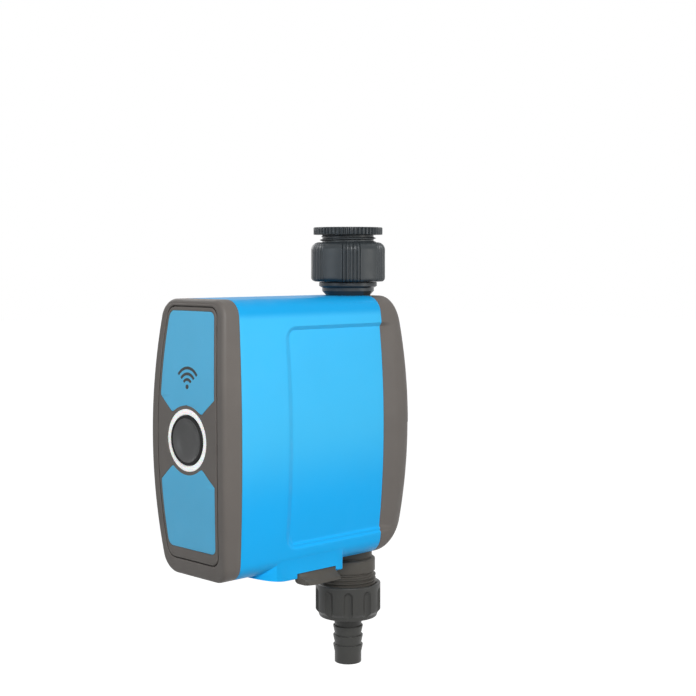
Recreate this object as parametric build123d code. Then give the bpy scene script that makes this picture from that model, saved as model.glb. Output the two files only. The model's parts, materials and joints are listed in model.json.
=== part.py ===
from build123d import *
import math
import os

# Smart water timer that hangs from a garden tap. All sizes are in millimetres.
# The origin is on the water axis, in the top face of the tap adapter. +Z is up, the front faces -Y.

# Case
BODY_HEIGHT = 120.0
BODY_HALF_WIDTH = 25.3
SIDE_BOW = 4.6
CORNER_R = 8.5
WALL = 2.2
FRONT_Y = -96.0
FRONT_BOW = 4.0
BEZEL_DEPTH = 9.9
SEAM_BOW = 2.2
SPLIT_Y = 0.0
REAR_DEPTH = 18.6
REAR_BOW = 2.8
REAR_CORNER_R = 12.0
REAR_EDGE_R = 3.0
FRONT_EDGE_R = 1.8
LIP_LENGTH = 4.0
LIP_WALL = 2.0
FIT = 0.15
RUNNING = 0.05
CLEAR = 0.3
GASKET_SET = 1.2
GASKET_WIDTH = 1.4
GASKET_GROOVE = 0.8
RIB = 2.0
RIB_HALF_WIDTH = 15.0

# Side recess of the case
RECESS_DEPTH = 1.3
RECESS_FRONT_Y = -58.0
RECESS_TOP_MARGIN = 13.0
RECESS_BOTTOM_MARGIN = 12.0
RECESS_R = 6.0
RECESS_FADE = 8.0

# Front panel, labels, ring and button. Heights are above mid-height of the case.
PANEL_SIDE_MARGIN = 5.2
PANEL_BOW = 4.4
PANEL_TOP_MARGIN = 3.4
PANEL_BOTTOM_MARGIN = 7.7
PANEL_R = 4.5
PANEL_GAP = 0.5
PANEL_THICKNESS = 1.8
BEZEL_FACE = 4.0
LABEL_THICKNESS = 0.6
LABEL_MARGIN = 1.4
LABEL_TOP_MARGIN = 1.6
LABEL_BOTTOM_MARGIN = 4.9
LABEL_R = 3.0
LABEL_SLOPE = 0.83
LABEL_TIP_X = 10.4
LABEL_TIP = 11.8
LABEL_ARC_R = 15.0
RING_R = 13.4
RING_BORE_R = 11.2
RING_PROUD = 0.3
RING_LENGTH = 11.5
RING_FLANGE_R = 15.2
RING_FLANGE = 1.4
RING_EDGE_R = 0.35
BUTTON_SET_BACK = 0.5
BUTTON_DISH = 1.5
BUTTON_RIM = 1.0
BUTTON_EDGE_R = 0.4
BUTTON_THICKNESS = 3.4
BUTTON_SKIRT = 3.0
BUTTON_WALL = 1.2
BUTTON_STEM_R = 2.5
BUTTON_TRAVEL = 0.8
BUTTON_SPRING_ROOM = 1.6
BUTTON_SPRING_WIRE = 0.5
BUTTON_SPRING_TURNS = 4
GUIDE_THICKNESS = 1.4
GUIDE_STEM_END = 2.2
SWITCH_HALF_WIDTH = 3.0
SWITCH_BODY = 2.6
SWITCH_PLUNGER = 1.0
PLUNGER_R = 1.7
PLUNGER_SEAT = 0.4
PLUNGER_ROOM = 0.2

# Electronics
BOARD_DEPTH = 14.0
BOARD_THICKNESS = 1.6
BOARD_SIDE_ROOM = 1.5
BOARD_END_ROOM = 13.0
BOARD_SCREW_INSET = (3.2, 5.0)
BOARD_R = 3.0
BOARD_BOSS_R = 2.4
BOARD_PILOT = 4.0
SMALL_SCREW_R = 1.0
SMALL_HEAD_R = 2.0
SMALL_HEAD = 1.3
SMALL_SCREW_LENGTH = 5.0
LED_COUNT = 6
LED_SIZE = (1.4, 0.9, 2.6)
RADIO_HALF_WIDTH = 8.0
RADIO_LOW = 20.0
RADIO_HIGH = 36.0
RADIO_THICKNESS = 2.6
AERIAL_HIGH = 42.0
AERIAL_THICKNESS = 0.8
CAN_R = 3.1
CAN_LENGTH = 7.0
CAN_AT = (-9.0, -22.0)
CHIP_HALF_WIDTH = 4.0
CHIP_HEIGHT = -4.0
CHIP_THICKNESS = 1.2
COIL_HALF_WIDTH = 3.0
COIL_AT = (6.0, -23.0)
COIL_THICKNESS = 3.0
SOCKET_X = 10.0
SOCKET_HEIGHT = 10.5
SOCKET_HALF_WIDTH = 4.0
SOCKET_HALF_HEIGHT = 2.5
SOCKET_LENGTH = 5.0

# Battery collar, sleeve, drawer and cells
COLLAR_MARGIN = 3.45
COLLAR_FRONT_Y = -72.5
COLLAR_REAR_Y = -23.5
COLLAR_DROP = 3.4
COLLAR_WALL = 2.0
COLLAR_R = 13.0
COLLAR_REAR_R = 1.5
COLLAR_FLOOR = 7.8
NOTCH_FRONT_Y = -52.0
NOTCH_REAR_Y = -28.5
NOTCH_RISE = 2.3
CELL_R = 7.1
CELL_LENGTH = 49.3
CELL_NUB = 1.2
CELL_NUB_R = 2.7
CELL_GAP = 0.8
CELL_ROOM = 0.15
CELL_EDGE_R = 0.5
TRAY_R = 2.0
TRAY_PASS = 0.4
TRAY_SIDE = 0.9
TRAY_END_ROOM = 0.6
TRAY_RIB = 4.0
TRAY_RIB_LEVELS = (0.25, 0.65)
TRAY_WALL = 1.2
TRAY_FLOOR = 2.0
TRAY_WEB = 1.4
DRAWER_Y = -49.0
DRAWER_PLATE = 2.5
PLATE_EDGE = 0.6
SEAL_INNER = 0.9
SEAL_OUTER = 2.0
SEAL_SINK = 0.6
SLEEVE_WALL = 1.5
SLEEVE_ROOM = 1.0
SLEEVE_HEAD = 3.0
BLADE_X = 8.0
BLADE_HALF_WIDTH = 2.5
BLADE_THICKNESS = 0.5
BLADE_TOP_HALF_LENGTH = 6.0
BLADE_BACK = 3.5
BLADE_FRONT = 3.0
PAD_THICKNESS = 0.4
PAD_SIZE = (6.0, 8.0)
PLATE_SIZE = 9.0
CONTACT_SPRING_HEIGHT = 3.4
CONTACT_SPRING_R = 2.9
CONTACT_WIRE = 0.5
CONTACT_TURNS = 3
CONTACT_PLATE = 0.4
TAB_REACH = 3.4
TAB_DEPTH = 5.2
TAB_ROOT = 3.0
TAB_NOSE = 12.0
TAB_SLOPE_TOP = 1.6
TAB_SLOPE_END = 4.4

# Water path
VALVE_HEIGHT = 24.0
VALVE_WALL = 2.5
VALVE_HALF_LENGTH = 26.0
VALVE_RIB_DROP = 18.0
FLOW_R = 6.0
BALL_R = 9.0
BALL_BORE_R = 5.0
SEAT_THICKNESS = 3.0
PIPE_R = 9.5
SOCKET_DEPTH = 12.0
STEM_R = 3.0
STEM_SQUARE = 4.6
STEM_BOSS_R = 7.0
STEM_SEAL_R = 4.6
STEM_SEAL_WIDTH = 1.6
STEM_SEAL_DEPTH = 7.0
TANG_HALF_WIDTH = 1.25
TANG_HALF_HEIGHT = 2.6
TANG_REACH = 2.2
SEAT_BITE = 0.6
SEAL_GROOVE = 2.0
SEAL_GROOVE_DEPTH = 1.2
INLET_SEAL = 4.0
OUTLET_SEAL = 3.0
SEAL_STEP = 4.0
FLANGE_HALF = 14.0
FLANGE_CORNER_R = 3.0
FLANGE_Y = -22.0
FLANGE_THICKNESS = 4.0
FLANGE_SCREW = 9.5

# Inlet: tap adapter, swivel nut and collar
ADAPTER_FLANGE = 3.4
ADAPTER_FLANGE_R = 16.2
ADAPTER_TEETH = 50
ADAPTER_LENGTH = 15.5
THREAD_R = 13.22
THREAD_ROOT_R = 12.06
THREAD_PITCH = 1.814
TAP_THREAD_R = 9.32
TAP_THREAD_DEPTH = 10.0
NUT_GAP = 3.6
NUT_HEIGHT = 18.3
NUT_R = 17.7
NUT_CLUSTERS = 6
NUT_GROOVES = 4
NUT_GROOVE_STEP = 5.6
NUT_GROOVE_R = 0.45
NUT_PHASE = -39.3
NUT_LOWER_EDGE = 1.6
NUT_UPPER_EDGE = 2.4
NUT_UPPER_STEP = 0.7
THREAD_ROOM = 0.2
MOUTH_EDGE = 0.5
COLLAR_VISIBLE = 6.5
INLET_COLLAR_R = 13.6
INLET_NECK_WALL = 0.7
SPIGOT_FLANGE_ROOM = 1.22
SPIGOT_FLANGE = 2.5
WASHER = 2.0
TAP_WASHER = 1.5
TAP_WASHER_R = 9.9
FILTER_R = 7.4
FILTER_DEPTH = 9.0
FILTER_WALL = 0.7
FILTER_RIM = 0.8
FILTER_RIM_R = 9.0
FILTER_SLOTS = 12
FILTER_SLOT_HALF = 0.9
FILTER_HOLES = 6
FILTER_HOLE_R = 1.2
FILTER_HOLE_CIRCLE = 4.2
FILTER_LAND = 2.0
COLLAR_BAND = 1.8
COLLAR_STEP = 1.4
COLLAR_STEP_HEIGHT = 0.8
COLLAR_STRAIGHT = 1.0
COLLAR_FOOT = 0.5
TOOTH_DEPTH = 0.7
THREAD_START = 1.2
THREAD_END = 0.8
THREAD_FLANK = 0.42
THREAD_CREST = 0.1

# Outlet: neck, coupling nut and hose tail
NECK_WALL = 1.9
NECK_LENGTH = 6.9
NECK_INSIDE = 6.0
OUTLET_R = 12.5
OUTLET_PLAIN = 4.0
OUTLET_THREADED = 12.5
COUPLING_GAP = 16.6
COUPLING_HEIGHT = 17.9
COUPLING_R = 15.5
COUPLING_FLUTES = 10
FLUTE_R = 3.0
FLUTE_DEPTH = 1.2
FLUTE_LENGTH = 10.5
FLUTE_PHASE = -44.0
FLUTE_ARCH = 4.4
COUPLING_LIP = 5.0
COUPLING_LIP_DEPTH = 1.3
COUPLING_LIP_RISE = 1.6
COUPLING_FOOT = 1.7
COUPLING_FOOT_HEIGHT = 1.5
COUPLING_EDGE = 0.8
HOSE_MOUTH_R = 10.9
TAIL_FLANGE_R = 12.2
TAIL_FLANGE = 2.5
TAIL_R = 6.4
TAIL_BARB_R = 7.1
TAIL_BORE_R = 4.9
TAIL_LENGTH = 30.0
TAIL_BARBS = 4
TAIL_BARB_PITCH = 4.6
TAIL_BARB_RISE = 3.2
TAIL_BARB_FLAT = 0.5
TAIL_LAND = 5.0
OUTLET_EDGE = 0.9

# Gear train, all axes along Y
PRESSURE_ANGLE = 25.0
ADDENDUM = 0.8
DEDENDUM = 1.1
TOOTH_BACKLASH = 0.14
MODULE_OUTPUT = 0.7
MODULE_MIDDLE = 0.6
MODULE_MOTOR = 0.5
OUTPUT_TEETH = 40
MIDDLE_TEETH = 30
FIRST_TEETH = 30
PINION_TEETH = 10
MIDDLE_ANGLE = 64.6
FIRST_ANGLE = 165.0
MOTOR_ANGLE = 215.0
GEAR_FACE = 3.4
GEAR_LAYER = 4.4
PIN_R = 0.75
GEARBOX_FLOOR = 3.0
GEARBOX_WALL = 1.5
GEARBOX_COVER = 2.0
GEARBOX_ROOM = 0.17
GEARBOX_TOP = 54.0
GEARBOX_BOTTOM = 7.0
GEARBOX_R = 6.0
GEARBOX_SCREWS = [(-15.6, 11.6), (15.6, 11.6), (15.0, 50.4), (-14.4, 50.4)]
GEARBOX_POST_R = 2.2
GEARBOX_PILOT = 8.0
GEARBOX_SCREW_LENGTH = 9.0
SCREW_COUNTERBORE = 1.5
PIN_SEAT = 1.6
PIN_BOSS_R = 1.8
PIN_BOSS = 0.6
PIN_COVER_SEAT = 1.4
NOSE_LENGTH = 3.2
GEAR_FLOOR_GAP = 1.2
GEAR_COVER_GAP = 0.4
MAGNET_R = 1.55
MAGNET_THICKNESS = 1.6
MAGNET_OFFSET = 9.0
SENSOR_HALF_WIDTH = 5.0
SENSOR_HALF_HEIGHT = 2.6
SENSOR_THICKNESS = 0.8
MOTOR_WIDTH = 12.0
MOTOR_HEIGHT = 10.0
MOTOR_LENGTH = 15.0
MOTOR_SHAFT_R = 0.75
MOTOR_SHAFT_END = 2.0
MOTOR_CLIP = 1.2
MOTOR_CLIP_LENGTH = 5.0
MOTOR_HOLE_R = 1.6
LEAD_R = 0.6
LEAD_OFFSET = 1.2

# Rear screws
CASE_SCREW_R = 1.45
CASE_SCREW_HEAD_R = 2.8
CASE_SCREW_LENGTH = 14.0
CASE_SCREW_MARGIN = 15.0
CASE_BOSS_ROOM = 0.16
CASE_BOSS_R = 3.0
CASE_BOSS_LENGTH = 12.0
CASE_SCREW_HEAD = 1.8
CASE_SCREW_SEAT = 4.0
CASE_SCREW_WELL = 1.6
HEAD_ROOM = 0.2
SHANK_ROOM = 0.1

# Worked out from the sizes above
BODY_TOP = -(ADAPTER_FLANGE + NUT_GAP + NUT_HEIGHT + COLLAR_VISIBLE)
HALF_HEIGHT = BODY_HEIGHT / 2
RECESS_TOP = HALF_HEIGHT - RECESS_TOP_MARGIN
RECESS_BOTTOM = RECESS_BOTTOM_MARGIN - HALF_HEIGHT
PANEL_HALF_WIDTH = BODY_HALF_WIDTH - PANEL_SIDE_MARGIN
PANEL_TOP = HALF_HEIGHT - PANEL_TOP_MARGIN
PANEL_BOTTOM = PANEL_BOTTOM_MARGIN - HALF_HEIGHT
LABEL_TOP = PANEL_TOP - LABEL_TOP_MARGIN
LABEL_BOTTOM = PANEL_BOTTOM + LABEL_BOTTOM_MARGIN
VALVE_R = PIPE_R + VALVE_WALL
INLET_NECK_R = PIPE_R + INLET_NECK_WALL
NECK_R = PIPE_R + NECK_WALL
SPIGOT_FLANGE_R = THREAD_R - SPIGOT_FLANGE_ROOM
MID_Z = BODY_TOP - HALF_HEIGHT
BODY_BOTTOM = BODY_TOP - BODY_HEIGHT
VALVE_Z = MID_Z + VALVE_HEIGHT
SEAM_Y = FRONT_Y + BEZEL_DEPTH
VALVE_TOP = VALVE_Z + VALVE_HALF_LENGTH
VALVE_RIB_Z = VALVE_Z - VALVE_RIB_DROP
NECK_TOP = BODY_BOTTOM + WALL + NECK_INSIDE
BUTTON_R = RING_BORE_R - CLEAR
BOARD_Y = FRONT_Y + BOARD_DEPTH
BOARD_BACK = BOARD_Y + BOARD_THICKNESS
SOCKET_Y = BOARD_BACK + SOCKET_LENGTH
REAR_GASKET_Y = SPLIT_Y - GASKET_SET
FAR = 200.0
PIECES = {}


def keep(name, shape):
    """Files one named piece of the assembly."""
    PIECES[name] = shape
    return shape


def case_side(height):
    """Half the case's width at a height above its mid-height."""
    return BODY_HALF_WIDTH - SIDE_BOW * (height / HALF_HEIGHT) ** 2


LIP_INSIDE = WALL + FIT + LIP_WALL
CASE_SCREW_H = HALF_HEIGHT - CASE_SCREW_MARGIN
CASE_SCREW_X = case_side(CASE_SCREW_H) - LIP_INSIDE - CASE_BOSS_R - CASE_BOSS_ROOM
BOARD_HALF_HEIGHT = HALF_HEIGHT - BOARD_END_ROOM
BOARD_HALF_WIDTH = case_side(BOARD_HALF_HEIGHT) - LIP_INSIDE - BOARD_SIDE_ROOM
BOARD_SCREW_X = BOARD_HALF_WIDTH - BOARD_SCREW_INSET[0]
BOARD_SCREW_H = BOARD_HALF_HEIGHT - BOARD_SCREW_INSET[1]
GEARBOX_HALF_WIDTH = case_side(GEARBOX_TOP) - WALL - GEARBOX_ROOM


def case_outline(inset):
    """The case seen from the front: bowed sides and rounded corners, drawn in by inset."""
    half_height = HALF_HEIGHT - inset
    middle = BODY_HALF_WIDTH - inset
    end = middle - SIDE_BOW * (half_height / HALF_HEIGHT) ** 2
    edges = [
        Line((-end, half_height), (end, half_height)),
        ThreePointArc((end, half_height), (middle, 0), (end, -half_height)),
        Line((end, -half_height), (-end, -half_height)),
        ThreePointArc((-end, -half_height), (-middle, 0), (-end, half_height)),
    ]
    face = make_face(Curve() + edges)
    return fillet(face.vertices(), max(CORNER_R - inset, 1.0))


def along_y(face, low, high):
    """Extrudes a face drawn in X and height from Y = low to Y = high."""
    plane = Plane((0, high, MID_Z), x_dir=(1, 0, 0), z_dir=(0, -1, 0))
    return extrude(plane * face, high - low)


def across(face, low=-FAR / 2, high=FAR / 2):
    """Extrudes a face drawn in Y and height from X = low to X = high."""
    plane = Plane((low, 0, MID_Z), x_dir=(0, 1, 0), z_dir=(1, 0, 0))
    return extrude(plane * face, high - low)


def upright(face, low, high):
    """Extrudes a face drawn in X and Y from Z = low to Z = high."""
    return extrude(Plane.XY.offset(low) * face, high - low)


def prism(inset, low=FRONT_Y - 5, high=REAR_DEPTH + 5):
    """The case outline, drawn in by inset, from Y = low to Y = high."""
    return along_y(case_outline(inset), low, high)


def sag(bow, height):
    """How far a round surface that falls away by bow at the case's ends falls away at a height."""
    radius = (HALF_HEIGHT**2 + bow**2) / (2 * bow)
    return radius - math.copysign(math.sqrt(radius**2 - height**2), radius)


def behind(y, bow):
    """Everything behind a surface whose middle is at Y = y and whose ends lie back by bow."""
    reach = HALF_HEIGHT + 12
    edge = y + sag(bow, reach)
    edges = [
        ThreePointArc((edge, reach), (y, 0), (edge, -reach)),
        Line((edge, -reach), (FAR, -reach)),
        Line((FAR, -reach), (FAR, reach)),
        Line((FAR, reach), (edge, reach)),
    ]
    return across(make_face(Curve() + edges))


def front_layer(near, far):
    """The layer between two depths behind the front surface."""
    return behind(FRONT_Y + near, FRONT_BOW) - behind(FRONT_Y + far, FRONT_BOW)


def block(x, y, z):
    """A box given by its low and high X, Y and Z."""
    size = (x[1] - x[0], y[1] - y[0], z[1] - z[0])
    return Pos((x[0] + x[1]) / 2, (y[0] + y[1]) / 2, (z[0] + z[1]) / 2) * Box(*size)


def post(radius, low, high, x=0.0, y=0.0):
    """An upright cylinder."""
    return Pos(x, y, (low + high) / 2) * Cylinder(radius, high - low)


def rod(radius, low, high, x=0.0, height=0.0):
    """A cylinder along Y, at X and a height above mid-height."""
    at = Pos(x, (low + high) / 2, MID_Z + height) * Rot(90, 0, 0)
    return at * Cylinder(radius, high - low)


def rounded_slot(half_width, front, rear, corner_front, corner_rear):
    """A rectangle in X and Y with its own corner radii at the front and the rear."""
    face = Pos(0, (front + rear) / 2) * Rectangle(2 * half_width, rear - front)
    face = fillet(face.vertices().group_by(Axis.Y)[0], corner_front)
    return fillet(face.vertices().group_by(Axis.Y)[-1], corner_rear)


def turned(points):
    """Turns an outline of radius and Z about the water axis."""
    return revolve(Plane.XZ * make_face(Polyline(*points, close=True)), Axis.Z)


def coil_spring(radius, wire, height, turns):
    """A spring of round wire that stands on Z = 0 and is height tall over its wire."""
    rise = height - wire
    helix = Helix(pitch=rise / turns, height=rise, radius=radius)
    path = Wire(helix.edges())
    start = Plane(origin=path @ 0, z_dir=path % 0)
    return Pos(0, 0, wire / 2) * sweep(start * Circle(wire / 2), path=path)


def ring_band(outer_inset, inner_inset, low, high):
    """A band that follows the case outline between two insets."""
    return prism(outer_inset, low, high) - prism(inner_inset, low - 1, high + 1)


def recess_window(low, high):
    """The prism that the side recess is cut with, drawn in Y and height."""
    middle_y = (RECESS_FRONT_Y + FAR) / 2
    middle_h = (RECESS_TOP + RECESS_BOTTOM) / 2
    face = Pos(middle_y, middle_h) * RectangleRounded(
        FAR - RECESS_FRONT_Y, RECESS_TOP - RECESS_BOTTOM, RECESS_R
    )
    return across(face) & block((-FAR, FAR), (low, high), (-2 * FAR, FAR))


def pipe_holes():
    """The round holes for the water pipe through the top and bottom walls and their lips."""
    top = post(INLET_NECK_R + RUNNING, VALVE_TOP, BODY_TOP + 1)
    bottom = post(NECK_R + RUNNING, BODY_BOTTOM - 1, NECK_TOP)
    return top + bottom


def screw(radius, length, head_r, head_height):
    """A pan-head screw along -Y: its head lies in Y > 0, its shank in Y < 0."""
    shank = Rot(90, 0, 0) * Pos(0, 0, length / 2) * Cylinder(radius, length)
    head = Rot(90, 0, 0) * Pos(0, 0, -head_height / 2) * Cylinder(head_r, head_height)
    slot_depth = head_height * 0.55
    bar = Box(head_r * 1.2, slot_depth, radius * 0.5)
    cross = Box(radius * 0.5, slot_depth, head_r * 1.2)
    return shank + head - Pos(0, head_height - slot_depth / 2, 0) * (bar + cross)


def corners(x, height):
    """The four places at plus and minus X and height."""
    return [(side * x, level * height) for side in (-1, 1) for level in (-1, 1)]


def placed(shape, places, y):
    """Copies of a shape at places in X and height, as one group."""
    return Compound(children=[Pos(x, y, MID_Z + h) * shape for x, h in places])


# Case pieces

def collar_inner(clearance, low, high):
    """The space inside the battery collar, drawn in by a clearance."""
    face = rounded_slot(
        COLLAR_HALF_WIDTH - COLLAR_WALL - clearance,
        COLLAR_FRONT_Y + COLLAR_WALL + clearance,
        COLLAR_REAR_Y - COLLAR_WALL - clearance,
        COLLAR_R - COLLAR_WALL - clearance,
        COLLAR_REAR_R,
    )
    return upright(face, low, high)


CELL_PITCH = 2 * CELL_R + CELL_GAP
CELL_X = CELL_R + TRAY_WEB / 2 + CELL_ROOM
TRAY_HALF_X = CELL_X + CELL_R + TRAY_SIDE
TRAY_HALF_Y = CELL_PITCH / 2 + CELL_R + TRAY_END_ROOM + TRAY_WALL
COLLAR_HALF_WIDTH = TRAY_HALF_X + SEAL_OUTER + COLLAR_MARGIN
COLLAR_BOTTOM = BODY_BOTTOM - COLLAR_DROP
POCKET_TOP = BODY_BOTTOM - 0.2
PLATE_TOP = POCKET_TOP - 0.3
PLATE_BOTTOM = PLATE_TOP - DRAWER_PLATE
COLLAR_TOP = BODY_BOTTOM + COLLAR_FLOOR
TRAY_BASE = PLATE_TOP
CELL_SPACE = CELL_LENGTH + CELL_NUB + CONTACT_SPRING_HEIGHT + 2 * CONTACT_PLATE
TRAY_TOP = TRAY_BASE + TRAY_FLOOR + CELL_SPACE + TRAY_FLOOR
SLEEVE_TOP = TRAY_TOP + SLEEVE_HEAD + SLEEVE_WALL


def tray_face(growth):
    """The drawer's cross-section, grown by an amount."""
    face = Pos(0, DRAWER_Y) * Rectangle(2 * (TRAY_HALF_X + growth), 2 * (TRAY_HALF_Y + growth))
    return fillet(face.vertices(), TRAY_R + growth)


def main_shell():
    outer = prism(0) & behind(SEAM_Y, SEAM_BOW) & block((-FAR, FAR), (-FAR, SPLIT_Y), (-2 * FAR, FAR))
    shell = outer - prism(WALL, -FAR, FAR)
    collar_face = rounded_slot(COLLAR_HALF_WIDTH, COLLAR_FRONT_Y, COLLAR_REAR_Y, COLLAR_R, COLLAR_REAR_R)
    shell += upright(collar_face, COLLAR_BOTTOM, COLLAR_TOP)
    shell -= collar_inner(0, COLLAR_BOTTOM - 1, POCKET_TOP)
    shell -= upright(tray_face(TRAY_PASS), POCKET_TOP - 1, COLLAR_TOP + 1)
    notch = block(
        (-FAR, FAR), (NOTCH_FRONT_Y, NOTCH_REAR_Y), (COLLAR_BOTTOM - 1, COLLAR_BOTTOM + NOTCH_RISE)
    )
    shell -= notch
    shell -= recess_window(-FAR, SPLIT_Y) - prism(RECESS_DEPTH, -FAR, FAR)
    boss = rod(CASE_BOSS_R, SPLIT_Y - CASE_BOSS_LENGTH, SPLIT_Y)
    pilot = rod(CASE_SCREW_R, SPLIT_Y - CASE_BOSS_LENGTH + 1, SPLIT_Y)
    inside = prism(RECESS_DEPTH + CLEAR, -FAR, FAR)
    web_y = (SPLIT_Y - CASE_BOSS_LENGTH, SPLIT_Y - LIP_LENGTH - CLEAR)
    for x, h in corners(CASE_SCREW_X, CASE_SCREW_H):
        reach = sorted((x, math.copysign(BODY_HALF_WIDTH, x)))
        shell += block(reach, web_y, (MID_Z + h - RIB / 2, MID_Z + h + RIB / 2)) & inside
        shell += Pos(x, 0, h) * boss
        shell -= Pos(x, 0, h) * pilot
    return keep("main_shell", shell - pipe_holes())


def front_bezel():
    outer = prism(0) & (behind(FRONT_Y, FRONT_BOW) - behind(SEAM_Y, SEAM_BOW))
    front = outer.faces().sort_by(Axis.Y)[0]
    outer = fillet(front.edges(), FRONT_EDGE_R)
    bezel = outer - (prism(WALL) & behind(FRONT_Y + BEZEL_FACE, FRONT_BOW))
    lip = ring_band(WALL + FIT, WALL + FIT + LIP_WALL, -FAR, FAR)
    lip &= behind(FRONT_Y + BEZEL_FACE, FRONT_BOW) - behind(SEAM_Y + LIP_LENGTH, SEAM_BOW)
    bezel += lip - (ring_band(0, WALL + FIT + GASKET_GROOVE, -FAR, FAR) & front_gasket_layer())
    pocket = along_y(panel_outline(-PANEL_GAP), FRONT_Y - 5, SPLIT_Y)
    bezel -= pocket & front_layer(-5, PANEL_THICKNESS)
    bezel -= rod(RING_R + FIT, FRONT_Y - 5, FRONT_Y + 12)
    boss = rod(BOARD_BOSS_R, FRONT_Y + BEZEL_FACE - 1, BOARD_Y)
    pilot = rod(SMALL_SCREW_R, BOARD_Y - BOARD_PILOT, BOARD_Y)
    for x, h in corners(BOARD_SCREW_X, BOARD_SCREW_H):
        bezel += Pos(x, 0, h) * boss & behind(FRONT_Y + PANEL_THICKNESS + 0.5, FRONT_BOW)
        bezel -= Pos(x, 0, h) * pilot
    return keep("front_bezel", bezel)


def front_gasket_layer():
    """The layer behind the front seam that holds the gasket."""
    near = SEAM_Y + GASKET_SET
    return behind(near, SEAM_BOW) - behind(near + GASKET_WIDTH, SEAM_BOW)


def front_gasket():
    band = ring_band(WALL + RUNNING, WALL + FIT + GASKET_GROOVE, -FAR, FAR)
    return keep("front_gasket", band & front_gasket_layer())


def rear_profile(inset):
    """The rear cover seen from the side, drawn in by inset, from the split plane back."""
    half = HALF_HEIGHT - inset
    middle = REAR_DEPTH - inset
    end = middle - sag(REAR_BOW, half)
    edges = [
        Line((-1, half), (end, half)),
        ThreePointArc((end, half), (middle, 0), (end, -half)),
        Line((end, -half), (-1, -half)),
        Line((-1, -half), (-1, half)),
    ]
    face = make_face(Curve() + edges)
    return fillet(face.vertices().group_by(Axis.X)[-1], REAR_CORNER_R - inset)


def rear_cover():
    back = block((-FAR, FAR), (SPLIT_Y, FAR), (-2 * FAR, FAR))
    outer = (prism(0) & back) - behind(REAR_DEPTH, -REAR_BOW)
    outer = fillet(outer.faces().sort_by(Axis.Y)[-1].edges(), REAR_EDGE_R)
    outer &= across(rear_profile(0))
    cover = outer - (prism(WALL, -FAR, FAR) & across(rear_profile(WALL)))
    lip = ring_band(WALL + FIT, WALL + FIT + LIP_WALL, SPLIT_Y - LIP_LENGTH, SPLIT_Y + 3)
    cover += lip - ring_band(0, WALL + FIT + GASKET_GROOVE, REAR_GASKET_Y - GASKET_WIDTH, REAR_GASKET_Y)
    sections = []
    for y, inset in ((SPLIT_Y, RECESS_DEPTH), (SPLIT_Y + RECESS_FADE, 0)):
        plane = Plane((0, y, MID_Z), x_dir=(1, 0, 0), z_dir=(0, -1, 0))
        sections.append(plane * case_outline(inset))
    cover -= recess_window(SPLIT_Y, SPLIT_Y + RECESS_FADE) - loft(sections, ruled=True)
    inside = prism(WALL / 2, -FAR, FAR) & across(rear_profile(WALL / 2))
    for low, radius in ((VALVE_TOP, INLET_NECK_R), (VALVE_RIB_Z, VALVE_R), (NECK_TOP, PIPE_R)):
        rib = block((-RIB_HALF_WIDTH, RIB_HALF_WIDTH), (SPLIT_Y, FAR), (low, low + RIB)) & inside
        cover += rib - post(radius + RUNNING, low - 1, low + RIB + 1)
    sink = rod(CASE_SCREW_HEAD_R + HEAD_ROOM, SPLIT_Y + CASE_SCREW_SEAT, FAR)
    shank = rod(CASE_SCREW_R + SHANK_ROOM, SPLIT_Y - LIP_LENGTH - 1, FAR)
    for x, h in corners(CASE_SCREW_X, CASE_SCREW_H):
        place = Pos(x, 0, h)
        cover += place * rod(CASE_SCREW_HEAD_R + CASE_SCREW_WELL, SPLIT_Y, FAR) & inside
        cover -= place * sink
        cover -= place * shank
    cover -= post(VALVE_R + RUNNING, VALVE_Z - VALVE_HALF_LENGTH, VALVE_TOP)
    cover -= post(PIPE_R + RUNNING, NECK_TOP - 1, VALVE_Z)
    return keep("rear_cover", cover - pipe_holes())


def rear_gasket():
    outer, inner = WALL + RUNNING, WALL + FIT + GASKET_GROOVE
    band = ring_band(outer, inner, REAR_GASKET_Y - GASKET_WIDTH, REAR_GASKET_Y)
    return keep("rear_gasket", band - pipe_holes())


def case_screws():
    one = screw(CASE_SCREW_R, CASE_SCREW_LENGTH, CASE_SCREW_HEAD_R, CASE_SCREW_HEAD)
    keep("case_screws", placed(one, corners(CASE_SCREW_X, CASE_SCREW_H), SPLIT_Y + CASE_SCREW_SEAT))


# Front panel and button

def panel_outline(inset):
    """The inset front panel, drawn in by inset."""
    top = PANEL_TOP - inset
    bottom = PANEL_BOTTOM + inset
    middle = PANEL_HALF_WIDTH - inset
    high = panel_side(top) - inset
    low = panel_side(bottom) - inset
    edges = [
        Line((-high, top), (high, top)),
        ThreePointArc((high, top), (middle, 0), (low, bottom)),
        Line((low, bottom), (-low, bottom)),
        ThreePointArc((-low, bottom), (-middle, 0), (-high, top)),
    ]
    return fillet(make_face(Curve() + edges).vertices(), PANEL_R - inset)


def panel_side(height):
    """Half the panel's width at a height above mid-height."""
    return PANEL_HALF_WIDTH - sag(PANEL_BOW, height)


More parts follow.
